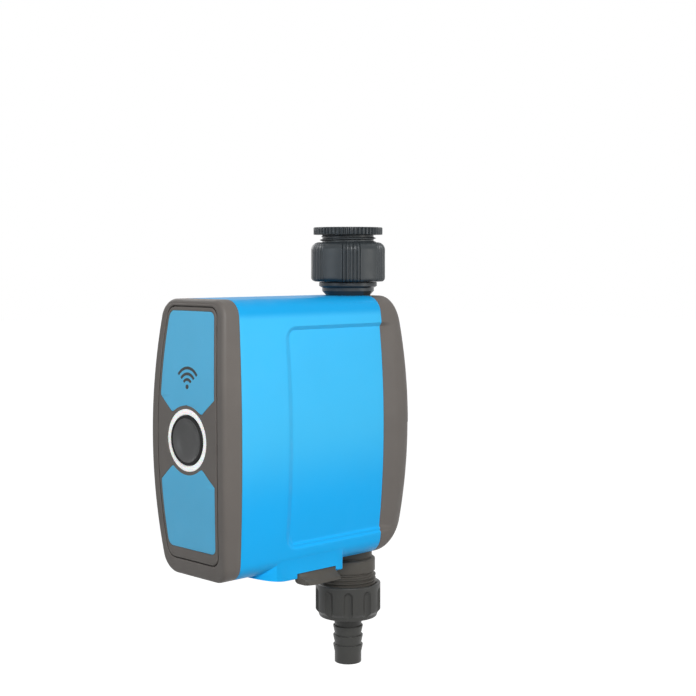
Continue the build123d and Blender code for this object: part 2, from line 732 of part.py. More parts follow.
def label_face(level, inset):
    """One blue label: upper for level 1, lower for level -1. Its inner edge goes round the ring."""
    end = (LABEL_TOP if level > 0 else -LABEL_BOTTOM) - inset
    half = [panel_side(h) - LABEL_MARGIN - inset for h in (0, end / 2, end)]
    sides = [(half[0], 0), (half[1], level * end / 2), (half[2], level * end)]
    edges = [
        ThreePointArc(*sides),
        Line(sides[2], (-half[2], level * end)),
        ThreePointArc(*[(-x, h) for x, h in reversed(sides)]),
        Line((-half[0], 0), sides[0]),
    ]
    face = make_face(Curve() + edges)
    corner = face.vertices().sort_by(Axis.Y)[-2:] if level > 0 else face.vertices().sort_by(Axis.Y)[:2]
    face = fillet(corner, LABEL_R - inset)
    tip = LABEL_TIP + inset
    wide = BODY_HALF_WIDTH
    shoulder = tip + (wide - LABEL_TIP_X) * LABEL_SLOPE
    far = HALF_HEIGHT + 5
    right = [(wide, far), (wide, shoulder), (LABEL_TIP_X, tip)]
    points = right + [(-x, h) for x, h in reversed(right)]
    wedge = make_face(Polyline(*[(x, level * h) for x, h in points], close=True))
    return (face & wedge) - Circle(LABEL_ARC_R + inset)


def front_panel():
    panel = along_y(panel_outline(0), FRONT_Y - 5, SPLIT_Y) & front_layer(0, PANEL_THICKNESS)
    panel -= rod(RING_R + FIT, FRONT_Y - 5, FRONT_Y + 12)
    for level in (1, -1):
        pocket = along_y(label_face(level, -0.05), FRONT_Y - 5, SPLIT_Y)
        panel -= pocket & front_layer(-5, LABEL_THICKNESS)
    keep("front_panel", panel)
    for level, name in ((1, "upper_label"), (-1, "lower_label")):
        label = along_y(label_face(level, 0), FRONT_Y - 5, SPLIT_Y)
        keep(name, label & front_layer(0.05, LABEL_THICKNESS))


def light_ring():
    front = FRONT_Y - RING_PROUD
    ring = rod(RING_R, front, front + RING_LENGTH)
    flange_y = FRONT_Y + BEZEL_FACE + sag(FRONT_BOW, RING_FLANGE_R) + RUNNING
    ring += rod(RING_FLANGE_R, flange_y, flange_y + RING_FLANGE)
    ring -= rod(RING_BORE_R, front - 1, front + RING_LENGTH + 1)
    edges = ring.faces().sort_by(Axis.Y)[0].edges()
    keep("light_ring", fillet(edges, RING_EDGE_R))


def button():
    front = FRONT_Y - RING_PROUD + BUTTON_SET_BACK
    cap = rod(BUTTON_R, front, front + BUTTON_THICKNESS)
    rim = BUTTON_R - BUTTON_RIM
    dish_r = (rim**2 + BUTTON_DISH**2) / (2 * BUTTON_DISH)
    cap -= Pos(0, front + BUTTON_DISH - dish_r, MID_Z) * Sphere(dish_r)
    cap = fillet(cap.faces().sort_by(Axis.Y)[0].edges(), BUTTON_EDGE_R)
    behind_dish = front + BUTTON_DISH + 0.5
    skirt_end = front + BUTTON_THICKNESS + BUTTON_SKIRT
    skirt = rod(BUTTON_R, behind_dish, skirt_end) - rod(BUTTON_R - BUTTON_WALL, front, skirt_end + 1)
    stem_end = BOARD_Y - SWITCH_BODY - SWITCH_PLUNGER
    stem = rod(BUTTON_STEM_R, behind_dish + 0.5, stem_end)
    keep("button_cap", cap + skirt + stem)
    spring_front = front + BUTTON_THICKNESS
    guide_front = stem_end - GUIDE_STEM_END
    guide = rod(RING_BORE_R - RUNNING, guide_front, guide_front + GUIDE_THICKNESS)
    guide -= rod(BUTTON_STEM_R + RUNNING, guide_front - 1, guide_front + 3)
    keep("button_guide", guide)
    spring_r = BUTTON_STEM_R + BUTTON_SPRING_ROOM
    spring = coil_spring(spring_r, BUTTON_SPRING_WIRE, guide_front - spring_front, BUTTON_SPRING_TURNS)
    keep("button_spring", Pos(0, guide_front, MID_Z) * Rot(90, 0, 0) * spring)


def switch():
    half = SWITCH_HALF_WIDTH
    top = BOARD_Y - SWITCH_BODY
    body = block((-half, half), (top, BOARD_Y), (MID_Z - half, MID_Z + half))
    body -= rod(PLUNGER_R + RUNNING, top, top + PLUNGER_SEAT + BUTTON_TRAVEL + PLUNGER_ROOM)
    keep("button_switch", body)
    keep("switch_plunger", rod(PLUNGER_R, top - SWITCH_PLUNGER, top + PLUNGER_SEAT))


# Electronics

def main_board():
    face = RectangleRounded(2 * BOARD_HALF_WIDTH, 2 * BOARD_HALF_HEIGHT, BOARD_R)
    board = along_y(face, BOARD_Y, BOARD_BACK)
    for x, h in corners(BOARD_SCREW_X, BOARD_SCREW_H):
        board -= Pos(x, 0, h) * rod(SMALL_SCREW_R + SHANK_ROOM, BOARD_Y - 1, BOARD_BACK + 1)
    keep("main_board", board)
    one = screw(SMALL_SCREW_R, SMALL_SCREW_LENGTH, SMALL_HEAD_R, SMALL_HEAD)
    keep("board_screws", placed(one, corners(BOARD_SCREW_X, BOARD_SCREW_H), BOARD_BACK))


def on_board(half_width, half_height, thickness, x, height):
    """A flat box on the board's back."""
    middle = MID_Z + height
    return block(
        (x - half_width, x + half_width),
        (BOARD_BACK, BOARD_BACK + thickness),
        (middle - half_height, middle + half_height),
    )


def board_parts():
    width = (-RADIO_HALF_WIDTH, RADIO_HALF_WIDTH)
    shield = block(width, (BOARD_BACK, BOARD_BACK + RADIO_THICKNESS), (MID_Z + RADIO_LOW, MID_Z + RADIO_HIGH))
    shield = fillet(shield.edges().filter_by(Axis.Y), 1.0)
    aerial_y = (BOARD_BACK, BOARD_BACK + AERIAL_THICKNESS)
    aerial = block(width, aerial_y, (MID_Z + RADIO_HIGH, MID_Z + AERIAL_HIGH))
    keep("radio_module", shield + aerial)
    can = rod(CAN_R, BOARD_BACK, BOARD_BACK + CAN_LENGTH, *CAN_AT)
    can = fillet(can.faces().sort_by(Axis.Y)[-1].edges(), 0.5)
    chip = on_board(CHIP_HALF_WIDTH, CHIP_HALF_WIDTH, CHIP_THICKNESS, 0, CHIP_HEIGHT)
    coil = on_board(COIL_HALF_WIDTH, COIL_HALF_WIDTH, COIL_THICKNESS, *COIL_AT)
    sockets = [
        on_board(SOCKET_HALF_WIDTH, SOCKET_HALF_HEIGHT, SOCKET_LENGTH, side * SOCKET_X, SOCKET_HEIGHT)
        for side in (-1, 1)
    ]
    keep("board_components", Compound(children=[can, chip, coil, *sockets]))
    led_r = (RING_R + RING_BORE_R) / 2
    led = Pos(led_r, BOARD_Y - LED_SIZE[1] / 2, 0) * Box(*LED_SIZE)
    turns = [-360 * (i + 0.5) / LED_COUNT for i in range(LED_COUNT)]
    keep("ring_lights", Compound(children=[Pos(0, 0, MID_Z) * Rot(0, turn, 0) * led for turn in turns]))


# Battery compartment

def battery_sleeve():
    sleeve = upright(tray_face(SLEEVE_ROOM + SLEEVE_WALL), COLLAR_TOP, SLEEVE_TOP)
    sleeve -= upright(tray_face(SLEEVE_ROOM), COLLAR_TOP - 1, SLEEVE_TOP - SLEEVE_WALL)
    blades = []
    for x in (-BLADE_X, BLADE_X):
        gap = BLADE_HALF_WIDTH + 0.1
        sleeve -= block(
            (x - gap, x + gap), (DRAWER_Y - BLADE_BACK - 0.5, DRAWER_Y + BLADE_FRONT + 1), (TRAY_TOP, FAR)
        )
        blades.append(supply_blade((x - BLADE_HALF_WIDTH, x + BLADE_HALF_WIDTH)))
    keep("battery_sleeve", sleeve)
    keep("supply_contacts", Compound(children=blades))


def supply_blade(width):
    """A bent strip that hangs through the sleeve's roof to just above the drawer's pads."""
    foot_low = TRAY_TOP + PAD_THICKNESS + CLEAR
    foot_top = foot_low + BLADE_THICKNESS
    back = DRAWER_Y - BLADE_BACK
    length = (DRAWER_Y - BLADE_TOP_HALF_LENGTH, DRAWER_Y + BLADE_TOP_HALF_LENGTH)
    plate = block(width, length, (SLEEVE_TOP, SLEEVE_TOP + BLADE_THICKNESS))
    finger = block(width, (back, back + BLADE_THICKNESS), (foot_top - 0.3, SLEEVE_TOP))
    foot = block(width, (back, DRAWER_Y + BLADE_FRONT), (foot_low, foot_top))
    return plate + finger + foot


def cell_places():
    """X, Y and which way up each cell stands."""
    half = CELL_PITCH / 2
    return [(sx * CELL_X, DRAWER_Y + sy * half, sx * sy > 0) for sx in (-1, 1) for sy in (-1, 1)]


def battery_drawer():
    plate = collar_inner(CLEAR, PLATE_BOTTOM, PLATE_TOP)
    plate = chamfer(plate.faces().sort_by(Axis.Z)[0].edges(), PLATE_EDGE)
    tray = upright(tray_face(0), PLATE_TOP - 0.5, TRAY_TOP)
    end_y = TRAY_HALF_Y - TRAY_WALL
    low = TRAY_BASE + TRAY_FLOOR
    high = TRAY_TOP - TRAY_FLOOR
    for side in (-1, 1):
        near, far = TRAY_WEB / 2, TRAY_HALF_X + 1
        x = (near, far) if side > 0 else (-far, -near)
        tray -= block(x, (DRAWER_Y - end_y, DRAWER_Y + end_y), (low, high))
    for level in TRAY_RIB_LEVELS:
        z = low + CELL_SPACE * level
        tray += block((-CELL_X, CELL_X), (DRAWER_Y - end_y, DRAWER_Y + end_y), (z, z + TRAY_RIB))
    for x, y, up in cell_places():
        tray -= post(CELL_R + 0.1, low, high, x, y)
    tray += block((-TRAY_WEB / 2, TRAY_WEB / 2), (DRAWER_Y - end_y, DRAWER_Y + end_y), (low, high))
    tabs = pull_tab() + mirror(pull_tab(), Plane.YZ)
    keep("battery_drawer", plate + tray + tabs - gasket_band(RUNNING))


def pull_tab():
    """Finger tab that comes out through the collar's notch, with a rounded front end."""
    inner = TRAY_HALF_X - TAB_ROOT
    outer = COLLAR_HALF_WIDTH + TAB_REACH
    front = NOTCH_FRONT_Y + CLEAR
    rear = NOTCH_REAR_Y - CLEAR
    top = COLLAR_BOTTOM + NOTCH_RISE - CLEAR
    edges = [
        Line((inner, front), (COLLAR_HALF_WIDTH - 2, front)),
        ThreePointArc(
            (COLLAR_HALF_WIDTH - 2, front), (outer - 0.9, front + TAB_NOSE / 3), (outer, front + TAB_NOSE)
        ),
        Line((outer, front + TAB_NOSE), (outer, rear)),
        Line((outer, rear), (inner, rear)),
        Line((inner, rear), (inner, front)),
    ]
    tab = upright(make_face(Curve() + edges), top - TAB_DEPTH, top)
    slope = [
        (COLLAR_HALF_WIDTH + 0.2, top + 1),
        (COLLAR_HALF_WIDTH + 0.2, top - TAB_SLOPE_TOP),
        (outer + 1, top - TAB_SLOPE_END),
        (outer + 1, top + 1),
    ]
    cut = Plane.XZ * make_face(Polyline(*slope, close=True))
    tab -= extrude(cut, FAR / 2, both=True)
    return tab


def gasket_band(growth):
    """The drawer's seal, a low band round the tray on the drawer's plate."""
    low, high = PLATE_TOP - SEAL_SINK - growth, POCKET_TOP - RUNNING + growth
    outer = upright(tray_face(SEAL_OUTER + growth), low, high)
    return outer - upright(tray_face(SEAL_INNER - growth), low - 1, high + 1)


def battery_parts():
    keep("drawer_gasket", gasket_band(0))
    cells = []
    springs = []
    plates = []
    floor = TRAY_BASE + TRAY_FLOOR
    roof = TRAY_TOP - TRAY_FLOOR
    for x, y, up in cell_places():
        spring = coil_spring(CONTACT_SPRING_R, CONTACT_WIRE, CONTACT_SPRING_HEIGHT, CONTACT_TURNS)
        body = post(CELL_R, 0, CELL_LENGTH) + post(CELL_NUB_R, CELL_LENGTH - 0.5, CELL_LENGTH + CELL_NUB)
        body = fillet(body.edges().filter_by(GeomType.CIRCLE).group_by(Axis.Z)[0], CELL_EDGE_R)
        flip = Pos(0, 0, CELL_LENGTH + CELL_NUB) * Rot(180, 0, 0)
        spring_flip = Pos(0, 0, CONTACT_SPRING_HEIGHT) * Rot(180, 0, 0)
        if up:
            cells.append(Pos(x, y, floor + CONTACT_PLATE + CONTACT_SPRING_HEIGHT) * body)
            springs.append(Pos(x, y, floor + CONTACT_PLATE) * spring)
        else:
            cells.append(Pos(x, y, floor + CONTACT_PLATE) * flip * body)
            springs.append(Pos(x, y, roof - CONTACT_PLATE - CONTACT_SPRING_HEIGHT) * spring_flip * spring)
        for low in (floor, roof - CONTACT_PLATE):
            plates.append(Pos(x, y, low + CONTACT_PLATE / 2) * Box(PLATE_SIZE, PLATE_SIZE, CONTACT_PLATE))
    keep("battery_cells", Compound(children=cells))
    keep("cell_springs", Compound(children=springs))
    for x in (-BLADE_X, BLADE_X):
        plates.append(Pos(x, DRAWER_Y, TRAY_TOP + PAD_THICKNESS / 2) * Box(*PAD_SIZE, PAD_THICKNESS))
    keep("cell_contacts", Compound(children=plates))


# Water path

SPIGOT_TOP = -(ADAPTER_LENGTH + WASHER)
NUT_TOP = -(ADAPTER_FLANGE + NUT_GAP)
NUT_BOTTOM = NUT_TOP - NUT_HEIGHT
SOCKET_FLOOR = VALVE_TOP - SOCKET_DEPTH
SEAT_LOW = VALVE_Z - BALL_R + SEAT_BITE
SEAT_HIGH = VALVE_Z + BALL_R - SEAT_BITE


def inlet_spigot():
    spigot = post(SPIGOT_FLANGE_R, SPIGOT_TOP - SPIGOT_FLANGE, SPIGOT_TOP)
    spigot += post(PIPE_R, SOCKET_FLOOR, SPIGOT_TOP)
    spigot -= post(FLOW_R, SOCKET_FLOOR - 1, SPIGOT_TOP + 1)
    spigot -= post(FILTER_R + 0.2, SPIGOT_TOP - FILTER_DEPTH - 1, SPIGOT_TOP + 1)
    spigot -= post(FILTER_RIM_R + 0.1, SPIGOT_TOP - FILTER_RIM, SPIGOT_TOP + 1)
    groove = SOCKET_FLOOR + INLET_SEAL
    keep("inlet_spigot", spigot - seal_groove(groove))
    return [pipe_seal(groove)]


def seal_groove(low):
    """The groove for a pipe end's seal, by its lower side."""
    core = post(PIPE_R - SEAL_GROOVE_DEPTH, low - 1, low + SEAL_GROOVE + 1)
    return post(PIPE_R + 1, low, low + SEAL_GROOVE) - core


def pipe_seal(low):
    """The ring that seals a pipe end, in a groove whose lower side is given."""
    core = post(PIPE_R - SEAL_GROOVE_DEPTH, low, low + SEAL_GROOVE)
    return post(PIPE_R - RUNNING, low + 0.1, low + SEAL_GROOVE - 0.1) - core


def filter_and_washers():
    floor = SPIGOT_TOP - FILTER_DEPTH
    screen = post(FILTER_R, floor, SPIGOT_TOP)
    screen += post(FILTER_RIM_R, SPIGOT_TOP - FILTER_RIM, SPIGOT_TOP)
    screen -= post(FILTER_R - FILTER_WALL, floor + FILTER_WALL, SPIGOT_TOP + 1)
    slot_z = (floor + FILTER_LAND, SPIGOT_TOP - FILTER_LAND)
    slot = block((0, FILTER_R + 1), (-FILTER_SLOT_HALF, FILTER_SLOT_HALF), slot_z)
    for i in range(FILTER_SLOTS):
        screen -= Rot(0, 0, 360 * i / FILTER_SLOTS) * slot
    hole = post(FILTER_HOLE_R, floor - 1, floor + 1, FILTER_HOLE_CIRCLE, 0)
    for i in range(FILTER_HOLES):
        screen -= Rot(0, 0, 360 * i / FILTER_HOLES) * hole
    keep("filter_screen", screen)
    washer = post(SPIGOT_FLANGE_R, SPIGOT_TOP, SPIGOT_TOP + WASHER)
    keep("inlet_washer", washer - post(FILTER_R - FILTER_WALL, SPIGOT_TOP - 1, 0))


def inlet_collar():
    top = NUT_BOTTOM - CLEAR
    step = top - COLLAR_BAND - COLLAR_STEP_HEIGHT
    profile = [
        (PIPE_R, top),
        (INLET_COLLAR_R, top),
        (INLET_COLLAR_R, top - COLLAR_BAND),
        (INLET_COLLAR_R - COLLAR_STEP, step),
        (INLET_COLLAR_R - COLLAR_STEP, step - COLLAR_STRAIGHT),
        (INLET_NECK_R, BODY_TOP + COLLAR_FOOT),
        (INLET_NECK_R, VALVE_TOP),
        (PIPE_R, VALVE_TOP),
    ]
    keep("inlet_collar", turned(profile))


def swivel_nut():
    bore = THREAD_R + THREAD_ROOM
    profile = [
        (PIPE_R + CLEAR, NUT_BOTTOM),
        (NUT_R - NUT_LOWER_EDGE, NUT_BOTTOM),
        (NUT_R, NUT_BOTTOM + NUT_LOWER_EDGE),
        (NUT_R, NUT_TOP - NUT_UPPER_EDGE),
        (NUT_R - NUT_UPPER_STEP, NUT_TOP - NUT_UPPER_STEP),
        (NUT_R - NUT_UPPER_EDGE, NUT_TOP),
        (bore + MOUTH_EDGE, NUT_TOP),
        (bore, NUT_TOP - MOUTH_EDGE),
        (bore, SPIGOT_TOP - SPIGOT_FLANGE - RUNNING),
        (PIPE_R + CLEAR, SPIGOT_TOP - SPIGOT_FLANGE - RUNNING),
    ]
    nut = turned(profile)
    groove = post(NUT_GROOVE_R, NUT_BOTTOM - 1, NUT_TOP + 1, NUT_R + 0.05, 0)
    cuts = []
    for cluster in range(NUT_CLUSTERS):
        for i in range(NUT_GROOVES):
            turn = 360 * cluster / NUT_CLUSTERS + (i - (NUT_GROOVES - 1) / 2) * NUT_GROOVE_STEP
            cuts.append(Rot(0, 0, turn + NUT_PHASE) * groove)
    keep("swivel_nut", nut - cuts)


def tap_adapter():
    bottom = -ADAPTER_LENGTH
    outline = []
    for i in range(2 * ADAPTER_TEETH):
        radius = ADAPTER_FLANGE_R - (0.0 if i % 2 else TOOTH_DEPTH)
        angle = math.pi * i / ADAPTER_TEETH
        for side in (-0.3, 0.3):
            spread = angle + side * math.pi / ADAPTER_TEETH
            outline.append((radius * math.cos(spread), radius * math.sin(spread)))
    flange = upright(make_face(Polyline(*outline, close=True)), -ADAPTER_FLANGE, 0)
    adapter = flange + post(THREAD_ROOT_R, bottom, -ADAPTER_FLANGE)
    adapter += thread_ridges(-ADAPTER_FLANGE - THREAD_START, bottom + THREAD_END)
    adapter -= post(TAP_THREAD_R, -TAP_THREAD_DEPTH, 1)
    seat = -TAP_THREAD_DEPTH - TAP_WASHER
    adapter -= post(TAP_WASHER_R + RUNNING, seat, -TAP_THREAD_DEPTH)
    passage = post(FLOW_R + 0.5, bottom - 1, 0)
    keep("tap_adapter", adapter - passage)
    keep("tap_washer", post(TAP_WASHER_R, seat, -TAP_THREAD_DEPTH - RUNNING) - passage)


def thread_ridges(top, bottom):
    """The crests of a pipe thread of THREAD_R between two levels, as even rings."""
    rings = Part()
    count = int((top - bottom) / THREAD_PITCH)
    for i in range(count):
        middle = top - (i + 0.5) * THREAD_PITCH
        half = THREAD_PITCH * THREAD_FLANK
        crest = THREAD_PITCH * THREAD_CREST
        inner = THREAD_ROOT_R - 0.3
        rings += turned(
            [
                (inner, middle + half),
                (THREAD_ROOT_R, middle + half),
                (THREAD_R, middle + crest),
                (THREAD_R, middle - crest),
                (THREAD_ROOT_R, middle - half),
                (inner, middle - half),
            ]
        )
    return rings


def at_stem(radius, low, high, x=0.0, height=0.0):
    """A cylinder along Y about the valve's stem, or beside it."""
    return rod(radius, low, high, x, VALVE_HEIGHT + height)


def valve_body():
    bottom = VALVE_Z - VALVE_HALF_LENGTH
    body = post(VALVE_R, bottom, VALVE_TOP)
    body += at_stem(STEM_BOSS_R, FLANGE_Y, 4 - VALVE_R)
    face = RectangleRounded(2 * FLANGE_HALF, 2 * FLANGE_HALF, FLANGE_CORNER_R)
    flange = along_y(face, FLANGE_Y, FLANGE_Y + FLANGE_THICKNESS)
    body += Pos(0, 0, VALVE_HEIGHT) * flange
    body -= post(PIPE_R, SOCKET_FLOOR, VALVE_TOP + 1)
    body -= post(FLOW_R, VALVE_Z, VALVE_TOP)
    body -= post(PIPE_R, bottom - 1, SEAT_HIGH)
    body -= at_stem(STEM_R + RUNNING, FLANGE_Y - 1, 0)
    body -= at_stem(STEM_SEAL_R, FLANGE_Y - 1, FLANGE_Y + STEM_SEAL_DEPTH)
    for x, h in corners(FLANGE_SCREW, FLANGE_SCREW):
        body -= at_stem(SMALL_SCREW_R, FLANGE_Y - 1, FLANGE_Y + FLANGE_THICKNESS + 1, x, h)
    screw_space = rod(CASE_BOSS_R + RUNNING, SPLIT_Y - CASE_BOSS_LENGTH - CLEAR, FAR)
    for x, h in corners(CASE_SCREW_X, CASE_SCREW_H):
        body -= Pos(x, 0, h) * screw_space
    keep("valve_body", body)
    seals = []
    for i in range(2):
        front = FLANGE_Y + NOSE_LENGTH + 0.1 + i * (STEM_SEAL_WIDTH + 0.2)
        rear = front + STEM_SEAL_WIDTH
        ring = at_stem(STEM_SEAL_R - RUNNING, front, rear)
        seals.append(ring - at_stem(STEM_R + RUNNING, front - 1, rear + 1))
    keep("stem_seals", Compound(children=seals))


def ball_and_seats():
    ball = Pos(0, 0, VALVE_Z) * Sphere(BALL_R)
    ball -= Pos(0, 0, VALVE_Z) * Rot(0, 90, 0) * Cylinder(BALL_BORE_R, 3 * BALL_R)
    reach = -BALL_R + TANG_REACH
    slot = block((-TANG_HALF_WIDTH, TANG_HALF_WIDTH), (-BALL_R - 1, reach), (VALVE_Z - FAR, VALVE_Z + FAR))
    keep("valve_ball", ball - slot)
    rings = []
    for low in (SEAT_LOW, SEAT_HIGH - SEAT_THICKNESS):
        high = low + SEAT_THICKNESS
        ring = post(PIPE_R - RUNNING, low, high) - post(BALL_BORE_R + 0.4, low - 1, high + 1)
        rings.append(ring - Pos(0, 0, VALVE_Z) * Sphere(BALL_R + RUNNING))
    keep("ball_seats", Compound(children=rings))
    square_end = FLANGE_Y - GEARBOX_FLOOR
    stem = at_stem(STEM_R, square_end - 0.6, -BALL_R - 0.2)
    tang = block(
        (-TANG_HALF_WIDTH + RUNNING, TANG_HALF_WIDTH - RUNNING),
        (-BALL_R - 0.5, reach - RUNNING),
        (VALVE_Z - TANG_HALF_HEIGHT, VALVE_Z + TANG_HALF_HEIGHT),
    )
    half = STEM_SQUARE / 2
    square = block((-half, half), (OUTPUT_Y - GEAR_FACE, square_end), (VALVE_Z - half, VALVE_Z + half))
    keep("valve_stem", stem + tang + (square & at_stem(STEM_R, -FAR, 0)))


def outlet_spigot():
    end = BODY_BOTTOM - NECK_LENGTH
    plain = end - OUTLET_PLAIN
    bottom = plain - OUTLET_THREADED
    spigot = post(PIPE_R, NECK_TOP, SEAT_LOW)
    spigot += post(NECK_R, end, NECK_TOP)
    edge = end - OUTLET_EDGE
    spigot += turned([(0, end + 0.1), (NECK_R, end + 0.1), (OUTLET_R, edge), (OUTLET_R, plain), (0, plain)])
    spigot += post(THREAD_ROOT_R, bottom, plain + 0.5)
    spigot += thread_ridges(plain - 0.2, bottom + THREAD_END)
    spigot -= post(FLOW_R, bottom - 1, SEAT_LOW + 1)
    seals = []
    for i in range(2):
        low = VALVE_Z - VALVE_HALF_LENGTH + OUTLET_SEAL + SEAL_STEP * i
        spigot -= seal_groove(low)
        seals.append(pipe_seal(low))
    keep("outlet_spigot", spigot)
    return seals


OUTLET_END = BODY_BOTTOM - NECK_LENGTH - OUTLET_PLAIN - OUTLET_THREADED
COUPLING_TOP = BODY_BOTTOM - COUPLING_GAP
COUPLING_BOTTOM = COUPLING_TOP - COUPLING_HEIGHT
TAIL_TOP = OUTLET_END - WASHER
TAIL_SHELF = TAIL_TOP - TAIL_FLANGE


def coupling_nut():
    bore = THREAD_R + THREAD_ROOM
    lip = COUPLING_BOTTOM + COUPLING_LIP
    profile = [
        (HOSE_MOUTH_R, COUPLING_BOTTOM),
        (HOSE_MOUTH_R + 1.0, COUPLING_BOTTOM),
        (COUPLING_R - COUPLING_FOOT, COUPLING_BOTTOM + COUPLING_FOOT_HEIGHT),
        (COUPLING_R - COUPLING_LIP_DEPTH, lip - COUPLING_LIP_RISE),
        (COUPLING_R, lip),
        (COUPLING_R, COUPLING_TOP - COUPLING_EDGE),
        (COUPLING_R - COUPLING_EDGE, COUPLING_TOP),
        (bore + MOUTH_EDGE, COUPLING_TOP),
        (bore, COUPLING_TOP - MOUTH_EDGE),
        (bore, TAIL_SHELF - RUNNING),
        (HOSE_MOUTH_R, TAIL_SHELF - RUNNING),
    ]
    nut = turned(profile)
    flute_top = COUPLING_TOP - FLUTE_ARCH
    centre = COUPLING_R + FLUTE_R - FLUTE_DEPTH
    flute = post(FLUTE_R, flute_top - FLUTE_LENGTH, flute_top, centre, 0)
    flute += Pos(centre, 0, flute_top) * Sphere(FLUTE_R)
    cuts = [Rot(0, 0, 360 * i / COUPLING_FLUTES + FLUTE_PHASE) * flute for i in range(COUPLING_FLUTES)]
    keep("coupling_nut", nut - cuts)


def hose_tail():
    bottom = TAIL_TOP - TAIL_LENGTH
    tail = post(TAIL_FLANGE_R, TAIL_SHELF, TAIL_TOP) + post(TAIL_R, bottom, TAIL_TOP)
    for i in range(TAIL_BARBS):
        low = bottom + TAIL_LAND + i * TAIL_BARB_PITCH
        crest = low + TAIL_BARB_RISE
        high = crest + TAIL_BARB_FLAT
        tail += turned([(0, low), (TAIL_R, low), (TAIL_BARB_R, crest), (TAIL_BARB_R, high), (0, high)])
    tail -= post(TAIL_BORE_R, bottom - 1, TAIL_TOP + 1)
    keep("hose_tail", tail)
    washer = post(TAIL_FLANGE_R, TAIL_TOP, OUTLET_END)
    keep("outlet_washer", washer - post(TAIL_BORE_R + 1, TAIL_TOP - 1, OUTLET_END + 1))


# Gears

def gear_face(teeth, module, phase):
    """Involute gear outline with a tooth centred at the angle phase, in degrees."""
    pitch_r = teeth * module / 2
    base_r = pitch_r * math.cos(math.radians(PRESSURE_ANGLE))
    tip_r = pitch_r + ADDENDUM * module
    root_r = pitch_r - DEDENDUM * module
    start_r = max(base_r, root_r)

    def involute(radius):
        angle = math.acos(min(1.0, base_r / radius))
        return math.tan(angle) - angle

    half = (math.pi * module / 2 - TOOTH_BACKLASH) / (2 * pitch_r)
    half_base = half + involute(pitch_r)
    steps = 4
    flank = []
    for i in range(steps + 1):
        radius = start_r + (tip_r - start_r) * i / steps
        flank.append((radius, half_base - involute(radius)))
    if root_r < start_r:
        flank.insert(0, (root_r, half_base))
    points = []
    for tooth in range(teeth):
        middle = math.radians(phase) + math.tau * tooth / teeth
        for radius, spread in flank:
            points.append((radius * math.cos(middle - spread), radius * math.sin(middle - spread)))
        for radius, spread in reversed(flank):
            points.append((radius * math.cos(middle + spread), radius * math.sin(middle + spread)))
    return make_face(Polyline(*points, close=True))


def gear_centre(start, distance, angle):
    """The X and height of a gear at a distance and direction from another."""
    turn = math.radians(angle)
    return start[0] + distance * math.cos(turn), start[1] + distance * math.sin(turn)


OUTPUT_AT = (0.0, VALVE_HEIGHT)
MIDDLE_AT = gear_centre(OUTPUT_AT, MODULE_OUTPUT * (OUTPUT_TEETH + PINION_TEETH) / 2, MIDDLE_ANGLE)
FIRST_AT = gear_centre(MIDDLE_AT, MODULE_MIDDLE * (MIDDLE_TEETH + PINION_TEETH) / 2, FIRST_ANGLE)
MOTOR_AT = gear_centre(FIRST_AT, MODULE_MOTOR * (FIRST_TEETH + PINION_TEETH) / 2, MOTOR_ANGLE)
OUTPUT_Y = FLANGE_Y - GEARBOX_FLOOR - GEAR_FLOOR_GAP
MIDDLE_Y = OUTPUT_Y - GEAR_LAYER
FIRST_Y = MIDDLE_Y - GEAR_LAYER
COVER_Y = FIRST_Y - GEAR_LAYER - GEAR_COVER_GAP
MOTOR_REAR_Y = COVER_Y - GEARBOX_COVER
MOTOR_FRONT_Y = MOTOR_REAR_Y - MOTOR_LENGTH


def gear(teeth, module, phase, at, rear_y, face=GEAR_FACE):
    """A spur gear whose rear face lies at Y = rear_y."""
    x, height = at
    return Pos(x, 0, height) * along_y(gear_face(teeth, module, phase), rear_y - face, rear_y)


def gear_train():
    output = gear(OUTPUT_TEETH, MODULE_OUTPUT, MIDDLE_ANGLE, OUTPUT_AT, OUTPUT_Y)
    half = STEM_SQUARE / 2 + RUNNING
    hole = block((-half, half), (-FAR, 0), (VALVE_Z - half, VALVE_Z + half))
    output -= hole & at_stem(STEM_R + RUNNING, -FAR, 0)
    magnet = at_stem(MAGNET_R, OUTPUT_Y - MAGNET_THICKNESS, OUTPUT_Y, 0, -MAGNET_OFFSET)
    seat = at_stem(MAGNET_R + RUNNING, OUTPUT_Y - MAGNET_THICKNESS, OUTPUT_Y, 0, -MAGNET_OFFSET)
    keep("output_gear", output - seat)
    keep("position_magnet", magnet)
    in_gap = 180 + 180 / PINION_TEETH
    long_face = GEAR_LAYER + 0.2
    middle = gear(PINION_TEETH, MODULE_OUTPUT, MIDDLE_ANGLE + in_gap, MIDDLE_AT, OUTPUT_Y, long_face)
    middle += gear(MIDDLE_TEETH, MODULE_MIDDLE, FIRST_ANGLE, MIDDLE_AT, MIDDLE_Y)
    first = gear(PINION_TEETH, MODULE_MIDDLE, FIRST_ANGLE + in_gap, FIRST_AT, MIDDLE_Y, long_face)
    first += gear(FIRST_TEETH, MODULE_MOTOR, MOTOR_ANGLE, FIRST_AT, FIRST_Y)
    pins = []
    for name, wheel, at in (("middle_gear", middle, MIDDLE_AT), ("first_gear", first, FIRST_AT)):
        keep(name, wheel - rod(PIN_R + RUNNING, -FAR, 0, *at))
        pins.append(rod(PIN_R, COVER_Y - PIN_COVER_SEAT, FLANGE_Y - GEARBOX_FLOOR + PIN_SEAT, *at))
    keep("gear_pins", Compound(children=pins))
    pinion = gear(PINION_TEETH, MODULE_MOTOR, MOTOR_ANGLE + in_gap, MOTOR_AT, FIRST_Y)
    keep("motor_pinion", pinion - rod(MOTOR_SHAFT_R, -FAR, 0, *MOTOR_AT))
    keep("motor_shaft", rod(MOTOR_SHAFT_R, MOTOR_FRONT_Y + MOTOR_SHAFT_END, FIRST_Y, *MOTOR_AT))


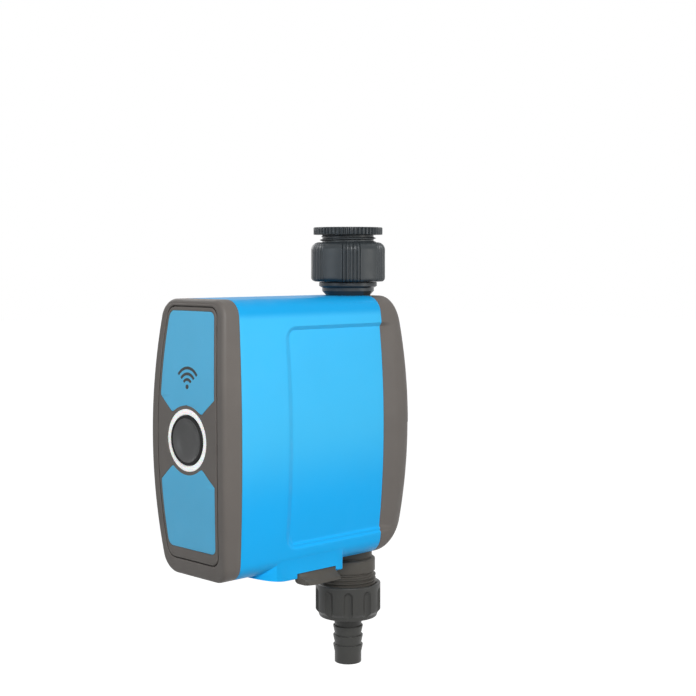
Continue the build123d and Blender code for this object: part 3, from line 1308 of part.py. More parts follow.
def gearbox_face(inset):
    """The gearbox seen from the front, drawn in by inset."""
    height = GEARBOX_TOP - GEARBOX_BOTTOM
    face = RectangleRounded(2 * (GEARBOX_HALF_WIDTH - inset), height - 2 * inset, GEARBOX_R - inset)
    return Pos(0, (GEARBOX_TOP + GEARBOX_BOTTOM) / 2) * face


GEARBOX_SCREWS = [(-15.6, 11.6), (15.6, 11.6), (15.0, 50.4), (-14.4, 50.4)]


def gearbox_base():
    floor_y = FLANGE_Y - GEARBOX_FLOOR
    base = along_y(gearbox_face(0), COVER_Y, FLANGE_Y)
    base -= along_y(gearbox_face(GEARBOX_WALL), COVER_Y - 1, floor_y)
    inside = along_y(gearbox_face(GEARBOX_WALL / 3), COVER_Y, FLANGE_Y)
    for x, h in GEARBOX_SCREWS:
        base += rod(GEARBOX_POST_R, COVER_Y, floor_y + 1, x, h) & inside
        base -= rod(SMALL_SCREW_R, COVER_Y - 1, COVER_Y + GEARBOX_PILOT, x, h)
    base += at_stem(STEM_SEAL_R - FIT, FLANGE_Y - 0.5, FLANGE_Y + NOSE_LENGTH)
    base -= at_stem(STEM_R + SHANK_ROOM, -FAR, 0)
    for at in (MIDDLE_AT, FIRST_AT):
        base += rod(PIN_BOSS_R, floor_y - PIN_BOSS, floor_y, *at)
        base -= rod(PIN_R, floor_y - PIN_BOSS - 1, floor_y + PIN_SEAT, *at)
    for x, h in corners(FLANGE_SCREW, FLANGE_SCREW):
        base -= at_stem(SMALL_SCREW_R + SHANK_ROOM, -FAR, 0, x, h)
        base -= at_stem(SMALL_HEAD_R + 0.1, floor_y - 1, floor_y + SCREW_COUNTERBORE, x, h)
    keep("gearbox_base", base)
    short = Rot(0, 0, 180) * screw(SMALL_SCREW_R, SMALL_SCREW_LENGTH, SMALL_HEAD_R, SMALL_HEAD)
    at = [(x, VALVE_HEIGHT + h) for x, h in corners(FLANGE_SCREW, FLANGE_SCREW)]
    keep("valve_screws", placed(short, at, floor_y + SCREW_COUNTERBORE))
    middle = VALVE_Z - MAGNET_OFFSET
    height = (middle - SENSOR_HALF_HEIGHT, middle + SENSOR_HALF_HEIGHT)
    width = (-SENSOR_HALF_WIDTH, SENSOR_HALF_WIDTH)
    keep("position_sensor", block(width, (floor_y - SENSOR_THICKNESS, floor_y), height))


def gearbox_cover():
    cover = along_y(gearbox_face(0), MOTOR_REAR_Y, COVER_Y)
    cover -= rod(MOTOR_HOLE_R, -FAR, 0, *MOTOR_AT)
    for at in (MIDDLE_AT, FIRST_AT):
        cover -= rod(PIN_R, COVER_Y - PIN_COVER_SEAT, COVER_Y + 1, *at)
    for at in GEARBOX_SCREWS:
        cover -= rod(SMALL_SCREW_R + SHANK_ROOM, -FAR, 0, *at)
    clip = along_y(motor_face(MOTOR_CLIP), MOTOR_REAR_Y - MOTOR_CLIP_LENGTH, MOTOR_REAR_Y)
    clip -= along_y(motor_face(RUNNING), MOTOR_REAR_Y - MOTOR_CLIP_LENGTH - 1, MOTOR_REAR_Y)
    clip &= along_y(case_outline(WALL + 0.4), -FAR, 0)
    keep("gearbox_cover", cover + clip)
    one = Rot(0, 0, 180) * screw(SMALL_SCREW_R, GEARBOX_SCREW_LENGTH, SMALL_HEAD_R, SMALL_HEAD)
    keep("gearbox_screws", placed(one, GEARBOX_SCREWS, MOTOR_REAR_Y))


def motor_face(growth):
    """The small motor's flat-sided round section, grown by an amount."""
    half = MOTOR_WIDTH / 2 + growth
    face = Circle(half) & Rectangle(4 * half, MOTOR_HEIGHT + 2 * growth)
    return Pos(*MOTOR_AT) * face


def motor():
    can = along_y(motor_face(0), MOTOR_FRONT_Y, MOTOR_REAR_Y)
    can -= rod(MOTOR_SHAFT_R + RUNNING, MOTOR_FRONT_Y + MOTOR_SHAFT_END - 0.1, 0, *MOTOR_AT)
    keep("motor_body", can)


def leads():
    """Two motor leads and two supply leads, each a smooth tube that ends in a socket."""
    socket_z = MID_Z + SOCKET_HEIGHT
    pairs = {"motor_leads": [], "supply_leads": []}
    for i, offset in enumerate((-LEAD_OFFSET, LEAD_OFFSET)):
        start = Vector(MOTOR_AT[0] + 2 * offset, MOTOR_FRONT_Y, MID_Z + MOTOR_AT[1])
        end = Vector(offset - SOCKET_X, SOCKET_Y, socket_z)
        middle = (MOTOR_FRONT_Y + SOCKET_Y) / 2
        points = [start, Vector(start.X, middle, start.Z), Vector(end.X, middle, end.Z), end]
        pairs["motor_leads"].append(lead(points))
        blade_end = DRAWER_Y - BLADE_TOP_HALF_LENGTH + 1
        begin = Vector(BLADE_X * (1 - 2 * i), blade_end, SLEEVE_TOP + BLADE_THICKNESS)
        high = begin.Z + 3.5 + 2 * i
        turn_y = SOCKET_Y + 5 + 3 * i
        finish = Vector(SOCKET_X + offset, SOCKET_Y, socket_z)
        points = [
            begin,
            Vector(begin.X, begin.Y, high),
            Vector(begin.X, turn_y, high),
            Vector(finish.X, turn_y, finish.Z),
            finish,
        ]
        pairs["supply_leads"].append(lead(points))
    for name, tubes in pairs.items():
        keep(name, Compound(children=tubes))


def lead(points):
    """A tube along straight runs joined by arcs as large as the runs allow."""
    radii = []
    for before, corner, after in zip(points, points[1:], points[2:]):
        turn = math.radians((corner - before).get_angle(after - corner))
        run = min((corner - before).length, (after - corner).length)
        radii.append(0.45 * run / math.tan(turn / 2))
    print("lead radii", [round(radius, 2) for radius in radii])
    path = FilletPolyline(*points, radius=radii)
    return sweep(Plane(origin=path @ 0, z_dir=path % 0) * Circle(LEAD_R), path=path)


def main():
    main_shell()
    front_bezel()
    front_gasket()
    rear_cover()
    rear_gasket()
    case_screws()
    front_panel()
    light_ring()
    button()
    switch()
    main_board()
    board_parts()
    battery_sleeve()
    battery_drawer()
    battery_parts()
    seals = inlet_spigot()
    filter_and_washers()
    inlet_collar()
    swivel_nut()
    tap_adapter()
    valve_body()
    ball_and_seats()
    seals += outlet_spigot()
    keep("pipe_seals", Compound(children=seals))
    coupling_nut()
    hose_tail()
    gear_train()
    gearbox_base()
    gearbox_cover()
    motor()
    leads()
    os.makedirs("parts", exist_ok=True)
    for name, shape in PIECES.items():
        export_step(shape, f"parts/{name}.step")
    print(len(PIECES), "pieces")


main()
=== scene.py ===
import json
import math

import bmesh
import bpy
from mathutils import Matrix, Vector


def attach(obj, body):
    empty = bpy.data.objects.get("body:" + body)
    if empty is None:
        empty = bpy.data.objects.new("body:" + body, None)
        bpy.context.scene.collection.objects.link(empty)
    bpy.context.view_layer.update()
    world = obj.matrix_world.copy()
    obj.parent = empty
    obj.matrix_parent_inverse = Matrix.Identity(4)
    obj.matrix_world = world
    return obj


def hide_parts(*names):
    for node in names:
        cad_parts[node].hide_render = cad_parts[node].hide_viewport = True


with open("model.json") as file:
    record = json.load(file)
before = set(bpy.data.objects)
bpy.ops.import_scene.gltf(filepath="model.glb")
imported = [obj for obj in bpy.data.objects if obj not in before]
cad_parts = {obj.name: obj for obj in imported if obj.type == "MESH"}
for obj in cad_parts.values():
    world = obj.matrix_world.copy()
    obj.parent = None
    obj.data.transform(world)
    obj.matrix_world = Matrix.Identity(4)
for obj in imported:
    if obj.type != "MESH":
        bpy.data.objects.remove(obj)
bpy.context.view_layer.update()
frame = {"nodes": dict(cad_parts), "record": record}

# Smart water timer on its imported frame. Shapes are worked out in millimetres and made in metres.
# Heights marked h are above the middle of the case, whose level is MID_Z.

MM = 0.001
MID_Z = -91.8
CASE_HALF_HEIGHT = 60.0
TAU = math.tau
scene = bpy.context.scene


def bow_radius(bow):
    """The radius of a surface that falls away by bow from the middle of the case to its top."""
    return (CASE_HALF_HEIGHT**2 + bow**2) / (2 * bow)


# Case
CASE_HALF_WIDTH = 25.3
CASE_SIDE_R = bow_radius(4.6)
CASE_CORNER_R = 8.5
WALL = 2.2
FRONT_Y = -96.0
FRONT_BOW_R = bow_radius(4.0)
SEAM_Y = -86.1
SEAM_BOW_R = bow_radius(2.2)
SEAM_EDGE = 0.4
REAR_DEPTH = 18.5
REAR_BOW_R = bow_radius(4.5)
REAR_CROWN = 0.3
REAR_INSET = (5.5, 14.2, 17.4)  # sides, top, bottom
REAR_CORNER_R = 8.6
REAR_SIDE_ROUND = 7.0
REAR_TOP_ROUND = 6.5
REAR_BOTTOM_ROUND = 11.8
SCREW_X = 15.2025
SCREW_H = 45.0
SCREW_SEAT = 4.0
SCREW_WELL_R = 3.0
SCREW_SHANK_R = 1.65
BOSS_R = 4.4
BOSS_ENDS = (0.4, 17.2)
BOSS_SKIN = 0.7
INLET_HOLE = (10.25, -45.0, -30.0)  # radius, low, high
OUTLET_HOLE = (11.45, -154.0, -143.6)
EDGE_ANGLES = (0, 0.4, 0.8, 1.2, math.pi / 2)
SIDE_STEPS = 200
CORNER_STEPS = 16
FLAT_STEPS = 14
STRAIGHT_Y = -64.0
ROUND_STEPS = 16
BACK_STEPS = 12

# Side recess
RECESS_DEPTH = 1.5
RECESS_FRONT = -60.3
RECESS_TOP = 48.1
RECESS_BOTTOM = -49.8
RECESS_R = 7.0
RECESS_FRONT_SLOPE = 4.2
RECESS_END_SLOPE = 1.9
RECESS_FADE = 8.0
RECESS_STEPS = (1.4, 0.36)  # width of the two steps at the foot, in slopes, and the share that each one takes

# Front
FRONT_EDGE_R = 1.9
FRONT_EDGE_STEPS = 8
FRONT_WALL = 4.0
PANEL_BOW_R = bow_radius(4.4)
PANEL = (20.1, 56.6, -52.3, PANEL_BOW_R, 4.5)  # half width, top, bottom, side radius, corner radius
POCKET = (20.6, 57.1, -52.8, PANEL_BOW_R, 5.0)
PANEL_SPAN = (20.1, 54.5)  # half width, half height
PANEL_THICKNESS = 1.8
PANEL_EDGE_R = 0.35
PANEL_SEAT_GAP = 0.1
FACE_STEPS = 24
LABEL_MARGIN = 1.4
LABEL_TOP = 55.0
LABEL_BOTTOM = 47.4
LABEL_R = 3.0
LABEL_SLOPE = 0.83
LABEL_TIP = (10.4, 11.8)  # x, h
LABEL_ARC_R = 15.0
LABEL_RELIEF = 0.12
MARK_H = 22.9
MARK_DOT_R = 1.0
MARK_ARCS = (3.1, 5.5, 8.0)
MARK_HALF_WIDTH = 0.6
MARK_HALF_ANGLE = math.radians(52)
MARK_STEPS = 20

# Light ring and button
RING_R = 13.4
RING_BORE_R = 11.0
RING_FRONT_Y = FRONT_Y + 0.3
RING_LENGTH = 11.0
RING_GAP = 0.15
RING_FLANGE_R = 15.2
RING_FLANGE = 1.4
BUTTON_FRONT_Y = -96.28
BUTTON_DISH = (9.3, 0.15, 2.0)  # radius, how far its edge lies back, depth
BUTTON_R = 9.7
BUTTON_THICKNESS = 3.0
BUTTON_STEM_R = 2.5
BUTTON_STEM_Y = -85.6
RIM_INNER_R = 9.5
RIM_R = 10.8
RIM_LENGTH = 6.8

# Battery collar and drawer
COLLAR = (21.4, -72.5, -23.5, 13.0, 1.5)  # half width, front, rear, front corners, rear corners
COLLAR_BOTTOM = -155.2
COLLAR_TOP = -144.0
COLLAR_WALL = 2.0
COLLAR_EDGE = 0.5
TRAY = (17.0, -66.0, -32.0, 2.4)  # half width, front, rear, corners
POCKET_TOP = -152.0
NOTCH = (-52.0, -28.5, -152.9)  # front, rear, top
KEEL_Y = -55.0
KEEL_R = 60.0
KEEL_LENGTH = 21
PLATE_LIFT = 0.4
PLATE_HALF_WIDTH = 21.5
TAB_BOTTOM = -158.4
TAB_INNER_X = 19.5
TAB_NOSE = 3.6
TAB_SPACE = (-60.0, -20.0)  # front, rear
PAST = 30.0

# Unions
PITCH = 1.814
THREAD_R = 13.22
THREAD_ROOT_R = 12.06
THREAD_FADE = 1.2
NUT_BORE_R = THREAD_R + 0.2
PIPE_R = 9.5
WATER_R = 6.0

# Inlet union
NUT_R = 17.7
NUT_TOP = -7.0
NUT_BOTTOM = -25.3
NUT_SHELF = -20.05
NUT_THROAT_R = 9.8
NUT_CORE_R = 14.5
NUT_GROUPS = 6
NUT_TURN = math.radians(-39.3)
NUT_RIBS = 5
NUT_RIB_PITCH = math.radians(5.6)
NUT_RIB_DEPTH = 0.5
NUT_FLAT_DEPTH = 0.15
FLANGE_R = 16.2
FLANGE_CORE_R = 15.3
FLANGE_BOTTOM = -3.4
FLANGE_TEETH = 50
TOOTH_DEPTH = 1.0
TAP_R = 9.32
TAP_DEPTH = -10.0
TAP_WASHER_R = 9.95
TAP_FLOOR = -11.5
ADAPTER_BORE_R = 6.5
ADAPTER_BOTTOM = -15.5
ADAPTER_THREAD = (-15.2, -3.7)
NECK_TOP = -25.6
NECK_BOTTOM = -41.8
NECK_R = 10.2
NECK_WAIST_TOP = -31.9
NECK_RING_R = 13.6
NECK_RING_BOTTOM = -27.4
NECK_STEP_R = 12.2
NECK_STEP_TOP = -28.2
NECK_STEP_BOTTOM = -29.7

# Outlet union
OUTLET_THREAD = (-174.9, -162.9)
OUTLET_BAND_R = 12.9
OUTLET_BAND = (-162.4, -156.9)
OUTLET_BAND_FOOT = -162.7
OUTLET_SHOULDER_R = 12.1
OUTLET_GROOVE_R = 11.0
OUTLET_GROOVE_TOP = -155.6
OUTLET_COLLAR_R = 11.4
OUTLET_COLLAR_BOTTOM = -155.4
OUTLET_CASE_Z = -143.6
OUTLET_TOP = -76.2
OUTLET_BOTTOM = -175.2
OUTLET_MOUTH_R = 11.5
LOCK_R = 15.5
LOCK_TOP = -168.4
LOCK_BOTTOM = -185.0
LOCK_LIP = 3.7
LOCK_LIP_R = 14.2
LOCK_SEAT = -179.75
LOCK_MOUTH_R = 10.9
LOCK_CORE_R = 13.6
FLUTES = 10
FLUTE_TURN = math.radians(-44.0)
FLUTE_R = 2.4
FLUTE_DEPTH = 1.5
FLUTE_ARCH = LOCK_TOP - 4.4
TAIL_TOP = -177.2
TAIL_BOTTOM = -207.2
TAIL_BORE_R = 4.9
TAIL_R = 6.4
TAIL_FLANGE_R = 12.2
TAIL_FLANGE_BOTTOM = -179.7
BARB_R = 7.1
BARBS = 4
BARB_START = 5.0
BARB_PITCH = 4.6
BARB_SLOPE = 3.2
BARB_LENGTH = 3.7

# Looks. The case's blue changes with height, from its foot at 0 to its top at 1. This is painted light:
# painted shade at the foot, a painted sheen higher up and a band of painted shade on the top rounding.
BLUES_WITH_PAINTED_LIGHT = (
    (0.22, (13, 181, 255)), (0.54, (60, 194, 252)), (0.925, (58, 192, 251)), (0.955, (16, 166, 232)),
)
GRAIN_HEIGHT = 0.00004

# Camera, in pixels of the picture, degrees and metres
PICTURE_WIDTH = 696
FOCAL_LENGTH = 1360
AZIMUTH = math.radians(45.7)
PITCH_DOWN = math.radians(3.742)
DISTANCE = 0.6415
CAMERA_Z = -0.0148

# Floor and world
FLOOR_HALF_SIZE = 8.0
FLOOR_Z = -0.45
FLOOR_TONE = 0.35
FLOOR_GLOW = 0.93
WORLD_LIGHT = 0.42
WORLD_TOP = 0.3


# Mesh tools

def material_slot(obj, material):
    obj.data.materials.clear()
    obj.data.materials.append(material)


def add_mesh(name, verts, faces):
    """A mesh object from points in millimetres, with doubled points joined and its faces outward."""
    mesh = bpy.data.meshes.new(name)
    mesh.from_pydata([(x * MM, y * MM, z * MM) for x, y, z in verts], [], faces)
    work = bmesh.new()
    work.from_mesh(mesh)
    bmesh.ops.remove_doubles(work, verts=work.verts, dist=2e-7)
    bmesh.ops.dissolve_degenerate(work, edges=work.edges, dist=1e-7)
    bmesh.ops.recalc_face_normals(work, faces=work.faces)
    work.to_mesh(mesh)
    work.free()
    obj = bpy.data.objects.new(name, mesh)
    scene.collection.objects.link(obj)
    return obj


def join(parts):
    """One list of points and faces from several."""
    verts, faces = [], []
    for some_verts, some_faces in parts:
        start = len(verts)
        verts += some_verts
        faces += [tuple(i + start for i in face) for face in some_faces]
    return verts, faces


def loft(rows, ring=True, loop=False):
    """Faces between rows of points. Rings close on themselves; a loop joins the last row to the first."""
    count = len(rows[0])
    verts = [point for row in rows for point in row]
    faces = []
    for i in range(len(rows) if loop else len(rows) - 1):
        a, b = i * count, (i + 1) % len(rows) * count
        for j in range(count if ring else count - 1):
            k = (j + 1) % count
            faces.append((a + j, a + k, b + k, b + j))
    return verts, faces


def carve(obj, verts, faces, operation="DIFFERENCE"):
    """Cuts a closed shape out of a piece, or adds it."""
    tool = add_mesh("tool", verts, faces)
    change = obj.modifiers.new("carve", "BOOLEAN")
    change.operation = operation
    change.solver = "EXACT"
    change.object = tool
    graph = bpy.context.evaluated_depsgraph_get()
    made = bpy.data.meshes.new_from_object(obj.evaluated_get(graph))
    obj.modifiers.clear()
    obj.data = made
    bpy.data.objects.remove(tool)


def own(obj, body, slot, *nodes, sharp=32, look=None):
    """Finishes a piece: smooth shading, its material, the body it rides on and the nodes it stands for."""
    for face in obj.data.polygons:
        face.use_smooth = True
    obj.data.set_sharp_from_angle(angle=math.radians(sharp))
    material_slot(obj, MATERIALS[look or slot])
    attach(obj, body)
    if nodes:
        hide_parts(*nodes)
    return obj


def rounded(points, steps=4):
    """An outline of (across, up[, corner radius]) points with its corners rounded."""
    out = []
    for i, point in enumerate(points):
        here = Vector(point[:2])
        radius = point[2] if len(point) > 2 else 0
        if not radius:
            out.append(tuple(here))
            continue
        back = Vector(points[i - 1][:2]) - here
        on = Vector(points[(i + 1) % len(points)][:2]) - here
        half = back.angle(on) / 2
        room = [
            side.length * (0.49 if len(other) > 2 and other[2] else 0.98)
            for side, other in ((back, points[i - 1]), (on, points[(i + 1) % len(points)]))
        ]
        cut = min(radius / math.tan(half), *room)
        radius = cut * math.tan(half)
        middle = here + (back.normalized() + on.normalized()).normalized() * (radius / math.sin(half))
        start = here + back.normalized() * cut - middle
        end = here + on.normalized() * cut - middle
        first = math.atan2(start.y, start.x)
        turn = (math.atan2(end.y, end.x) - first + math.pi) % TAU - math.pi
        for k in range(steps + 1):
            angle = first + turn * k / steps
            out.append((middle.x + radius * math.cos(angle), middle.y + radius * math.sin(angle)))
    return out


def divided(points, step):
    """An outline with its long edges divided."""
    out = []
    for i, a in enumerate(points):
        b = points[(i + 1) % len(points)]
        count = max(1, math.ceil(math.dist(a, b) / step))
        out += [(a[0] + (b[0] - a[0]) * k / count, a[1] + (b[1] - a[1]) * k / count) for k in range(count)]
    return out


def turned(profile, count=160, shape=None, up=True, loop=True):
    """Turns an outline of (radius, height) about the water axis, or about the button's with up=False."""
    rows = []
    for i, (radius, height) in enumerate(profile):
        ahead = profile[(i + 1) % len(profile)]
        before = profile[i - 1]
        along = Vector((ahead[0] - before[0], ahead[1] - before[1]))
        normal = Vector((along.y, -along.x)).normalized() if along.length else Vector((1, 0))
        row = []
        for j in range(count):
            angle = TAU * j / count
            r, z = shape(radius, height, normal, angle) if shape else (radius, height)
            if up:
                row.append((r * math.cos(angle), r * math.sin(angle), z))
            else:
                row.append((r * math.cos(angle), z, MID_Z + r * math.sin(angle)))
        rows.append(row)
    return loft(rows, loop=loop)


def thread(low, high, count, steps=12):
    """The outside of a pipe thread between two levels, on one right-handed helix."""
    rows = []
    for i in range(int((high - low) / PITCH * steps) + 2 * steps):
        phase = (i % steps) / steps
        ridge = min(max(1.0 - abs(phase - 0.5) * 3.2, 0.0), 0.72) / 0.72
        row = []
        for j in range(count + 1):
            z = low + PITCH * (i / steps - 1 + j / count)
            z = min(max(z, low), high)
            fade = min(max(min(z - low, high - z) / THREAD_FADE, 0.0), 1.0)
            r = THREAD_ROOT_R + (THREAD_R - THREAD_ROOT_R) * ridge * fade
            angle = TAU * (j % count) / count
            row.append((r * math.cos(angle), r * math.sin(angle), z))
        rows.append(row)
    return loft(rows, ring=False)


def prism(points, low, high, axis="z", edge=0.0):
    """A closed prism on a convex outline, along Z or Y, with a small edge at its low end."""
    centre = (sum(p[0] for p in points) / len(points), sum(p[1] for p in points) / len(points))
    rows = []
    for inset, level in ((edge, low), (edge * 0.3, low + edge * 0.3), (0, low + edge), (0, high)):
        row = []
        for a, b in points:
            away = Vector((a - centre[0], b - centre[1]))
            away = away * (1 - inset / away.length)
            a, b = centre[0] + away.x, centre[1] + away.y
            row.append((a, b, level) if axis == "z" else (a, level, MID_Z + b))
        rows.append(row)
    verts, faces = loft(rows)
    count = len(points)
    faces.append(tuple(range(count)))
    faces.append(tuple(range(3 * count, 4 * count)))
    return verts, faces


def bar(points, x0, x1):
    """A closed prism along X on an outline in Y and Z."""
    verts, faces = loft([[(x, y, z) for y, z in points] for x in (x0, x1)])
    count = len(points)
    return verts, faces + [tuple(range(count)), tuple(range(count, 2 * count))]


def keel(lift):
    """What lies below the collar's curved front foot, seen from the side."""
    arc = [(KEEL_Y - i, COLLAR_BOTTOM + lift + i**2 / (2 * KEEL_R)) for i in range(KEEL_LENGTH + 1)]
    return arc + [(KEEL_Y - KEEL_LENGTH, COLLAR_BOTTOM - 9), (KEEL_Y, COLLAR_BOTTOM - 9)]


def circle(radius, x=0.0, y=0.0, count=64):
    angles = [TAU * i / count for i in range(count)]
    return [(x + radius * math.cos(a), y + radius * math.sin(a)) for a in angles]


def sag(radius, h):
    """How far a round surface of that radius falls away at a height."""
    return radius - math.sqrt(radius**2 - h**2)


def outline(half_width, top, bottom, side_r, corner):
    """Points (x, h, normal x, normal h) round a case outline with bowed sides and rounded corners."""
    axis = half_width - side_r
    ends = []
    for level in (bottom, top):
        inner = abs(level) - corner
        x = axis + math.sqrt((side_r - corner) ** 2 - inner**2)
        ends.append((x, math.copysign(inner, level), level))
    (xb, hb, _), (xt, ht, _) = ends
    low, high = math.atan2(hb, xb - axis), math.atan2(ht, xt - axis)
    right = [(xb * i / FLAT_STEPS, bottom, 0.0, -1.0) for i in range(FLAT_STEPS)]
    for i in range(CORNER_STEPS):
        a = -math.pi / 2 + (low + math.pi / 2) * i / CORNER_STEPS
        right.append((xb + corner * math.cos(a), hb + corner * math.sin(a), math.cos(a), math.sin(a)))
    for i in range(SIDE_STEPS):
        a = low + (high - low) * i / SIDE_STEPS
        right.append((axis + side_r * math.cos(a), side_r * math.sin(a), math.cos(a), math.sin(a)))
    for i in range(CORNER_STEPS):
        a = high + (math.pi / 2 - high) * i / CORNER_STEPS
        right.append((xt + corner * math.cos(a), ht + corner * math.sin(a), math.cos(a), math.sin(a)))
    right += [(xt * (1 - i / FLAT_STEPS), top, 0.0, 1.0) for i in range(FLAT_STEPS + 1)]
    left = [(-x, h, -nx, nh) for x, h, nx, nh in right[1:-1]]
    return right + left[::-1]


CASE = outline(CASE_HALF_WIDTH, CASE_HALF_HEIGHT, -CASE_HALF_HEIGHT, CASE_SIDE_R, CASE_CORNER_R)


def case_row(inset, level):
    """One ring of the case outline, drawn in by inset(y, h), at level(h) along Y."""
    row = []
    for x, h, nx, nh in CASE:
        y = level(h)
        cut = inset(y, h) if callable(inset) else inset
        row.append((x - nx * cut, y, MID_Z + h - nh * cut))
    return row


def ramp(t, soft=0.22):
    """Rises from 0 to 1 as a straight slope with soft ends."""
    t = min(max(t, 0.0), 1.0)
    if t > 0.5:
        return 1 - ramp(1 - t, soft)
    if t < soft:
        return t**2 / (2 * soft * (1 - soft))
    return (t - soft / 2) / (1 - soft)


def recess(y, h):
    """How deep the side recess is at a place on the case's side."""
    dy = RECESS_FRONT + RECESS_R - y
    dh = max(h - (RECESS_TOP - RECESS_R), RECESS_BOTTOM + RECESS_R - h)
    inside = RECESS_R - math.hypot(max(dy, 0), max(dh, 0)) - min(max(dy, dh), 0)
    lean = dy**2 / (dy**2 + dh**2) if dy > 0 and dh > 0 else float(dy > dh)
    slope = RECESS_END_SLOPE + (RECESS_FRONT_SLOPE - RECESS_END_SLOPE) * lean
    fall = ramp(inside / slope)
    if h < 0:
        step = inside / (slope * RECESS_STEPS[0])
        stepped = (ramp(step / RECESS_STEPS[1]) + ramp((step - 1) / RECESS_STEPS[1] + 1)) / 2
        fall += (stepped - fall) * (1 - lean)
    return RECESS_DEPTH * fall * (1 - ramp(y / RECESS_FADE, 0.3))


def seam(h):
    return SEAM_Y + sag(SEAM_BOW_R, h)


def front(h):
    return FRONT_Y + sag(FRONT_BOW_R, h)


def slot_outline(half_width, front_y, rear_y, front_r, rear_r, inset=0.0):
    """The battery collar's outline in X and Y."""
    w, f, r = half_width - inset, front_y + inset, rear_y - inset
    corner = front_r - inset
    return rounded([(-w, f, corner), (w, f, corner), (w, r, rear_r), (-w, r, rear_r)], steps=20)


def openings():
    """The holes of the case for the water pipe above and below, as tools to cut with."""
    return join([prism(circle(radius), low, high) for radius, low, high in (INLET_HOLE, OUTLET_HOLE)])


def screws(radius, low, high, count):
    """Four rods along Y at the places of the rear cover's screws."""
    places = [(x, h) for x in (-SCREW_X, SCREW_X) for h in (-SCREW_H, SCREW_H)]
    return join([prism(circle(radius, x, h, count), low, high, "y") for x, h in places])


def rolled(radius, angle):
    """How far a rounded edge is drawn in, and how far back it lies, at an angle round it."""
    return radius * (1 - math.sin(angle)), radius * (1 - math.cos(angle))


# Materials

def nodes_of(name):
    material = bpy.data.materials.new(name)
    material.use_nodes = True
    tree = material.node_tree
    tree.nodes.clear()
    out = tree.nodes.new("ShaderNodeOutputMaterial")
    shader = tree.nodes.new("ShaderNodeBsdfPrincipled")
    tree.links.new(shader.outputs[0], out.inputs[0])
    coords = tree.nodes.new("ShaderNodeTexCoord")
    return material, tree, shader, coords


def noise(tree, coords, size, detail=3.0, stretch=None):
    """Noise whose features are about size millimetres across."""
    node = tree.nodes.new("ShaderNodeTexNoise")
    node.inputs["Scale"].default_value = 1 / (size * MM)
    node.inputs["Detail"].default_value = detail
    source = coords.outputs["Object"]
    if stretch:
        mapping = tree.nodes.new("ShaderNodeMapping")
        mapping.inputs["Scale"].default_value = stretch
        tree.links.new(source, mapping.inputs[0])
        source = mapping.outputs[0]
    tree.links.new(source, node.inputs["Vector"])
    return node


def linear(rgb):
    """A colour given as 0 to 255 in sRGB, as the shader takes it."""
    out = []
    for value in rgb:
        c = value / 255
        out.append(c / 12.92 if c <= 0.04045 else ((c + 0.055) / 1.055) ** 2.4)
    return out


def painted_light_by_height(tree, coords, painted_light_bands, tones):
    """Colours at shares of the case's height, blended and multiplied by the tones: painted light and shade
    that change with height.
    """
    split = tree.nodes.new("ShaderNodeSeparateXYZ")
    tree.links.new(coords.outputs["Object"], split.inputs[0])
    height = tree.nodes.new("ShaderNodeMapRange")
    height.inputs["From Min"].default_value = (MID_Z - CASE_HALF_HEIGHT) * MM
    height.inputs["From Max"].default_value = (MID_Z + CASE_HALF_HEIGHT) * MM
    tree.links.new(split.outputs[2], height.inputs["Value"])
    fade = tree.nodes.new("ShaderNodeValToRGB")
    fade.color_ramp.interpolation = "EASE"
    stops = fade.color_ramp.elements
    while len(stops) < len(painted_light_bands):
        stops.new(1.0)
    for stop, (place, tone) in zip(stops, painted_light_bands):
        stop.position = place
        stop.color = linear(tone) + [1]
    tree.links.new(height.outputs[0], fade.inputs[0])
    blend = tree.nodes.new("ShaderNodeMix")
    blend.data_type = "RGBA"
    blend.blend_type = "MULTIPLY"
    blend.inputs["Factor"].default_value = 1.0
    tree.links.new(fade.outputs[0], blend.inputs["A"])
    tree.links.new(tones, blend.inputs["B"])
    return blend.outputs["Result"]


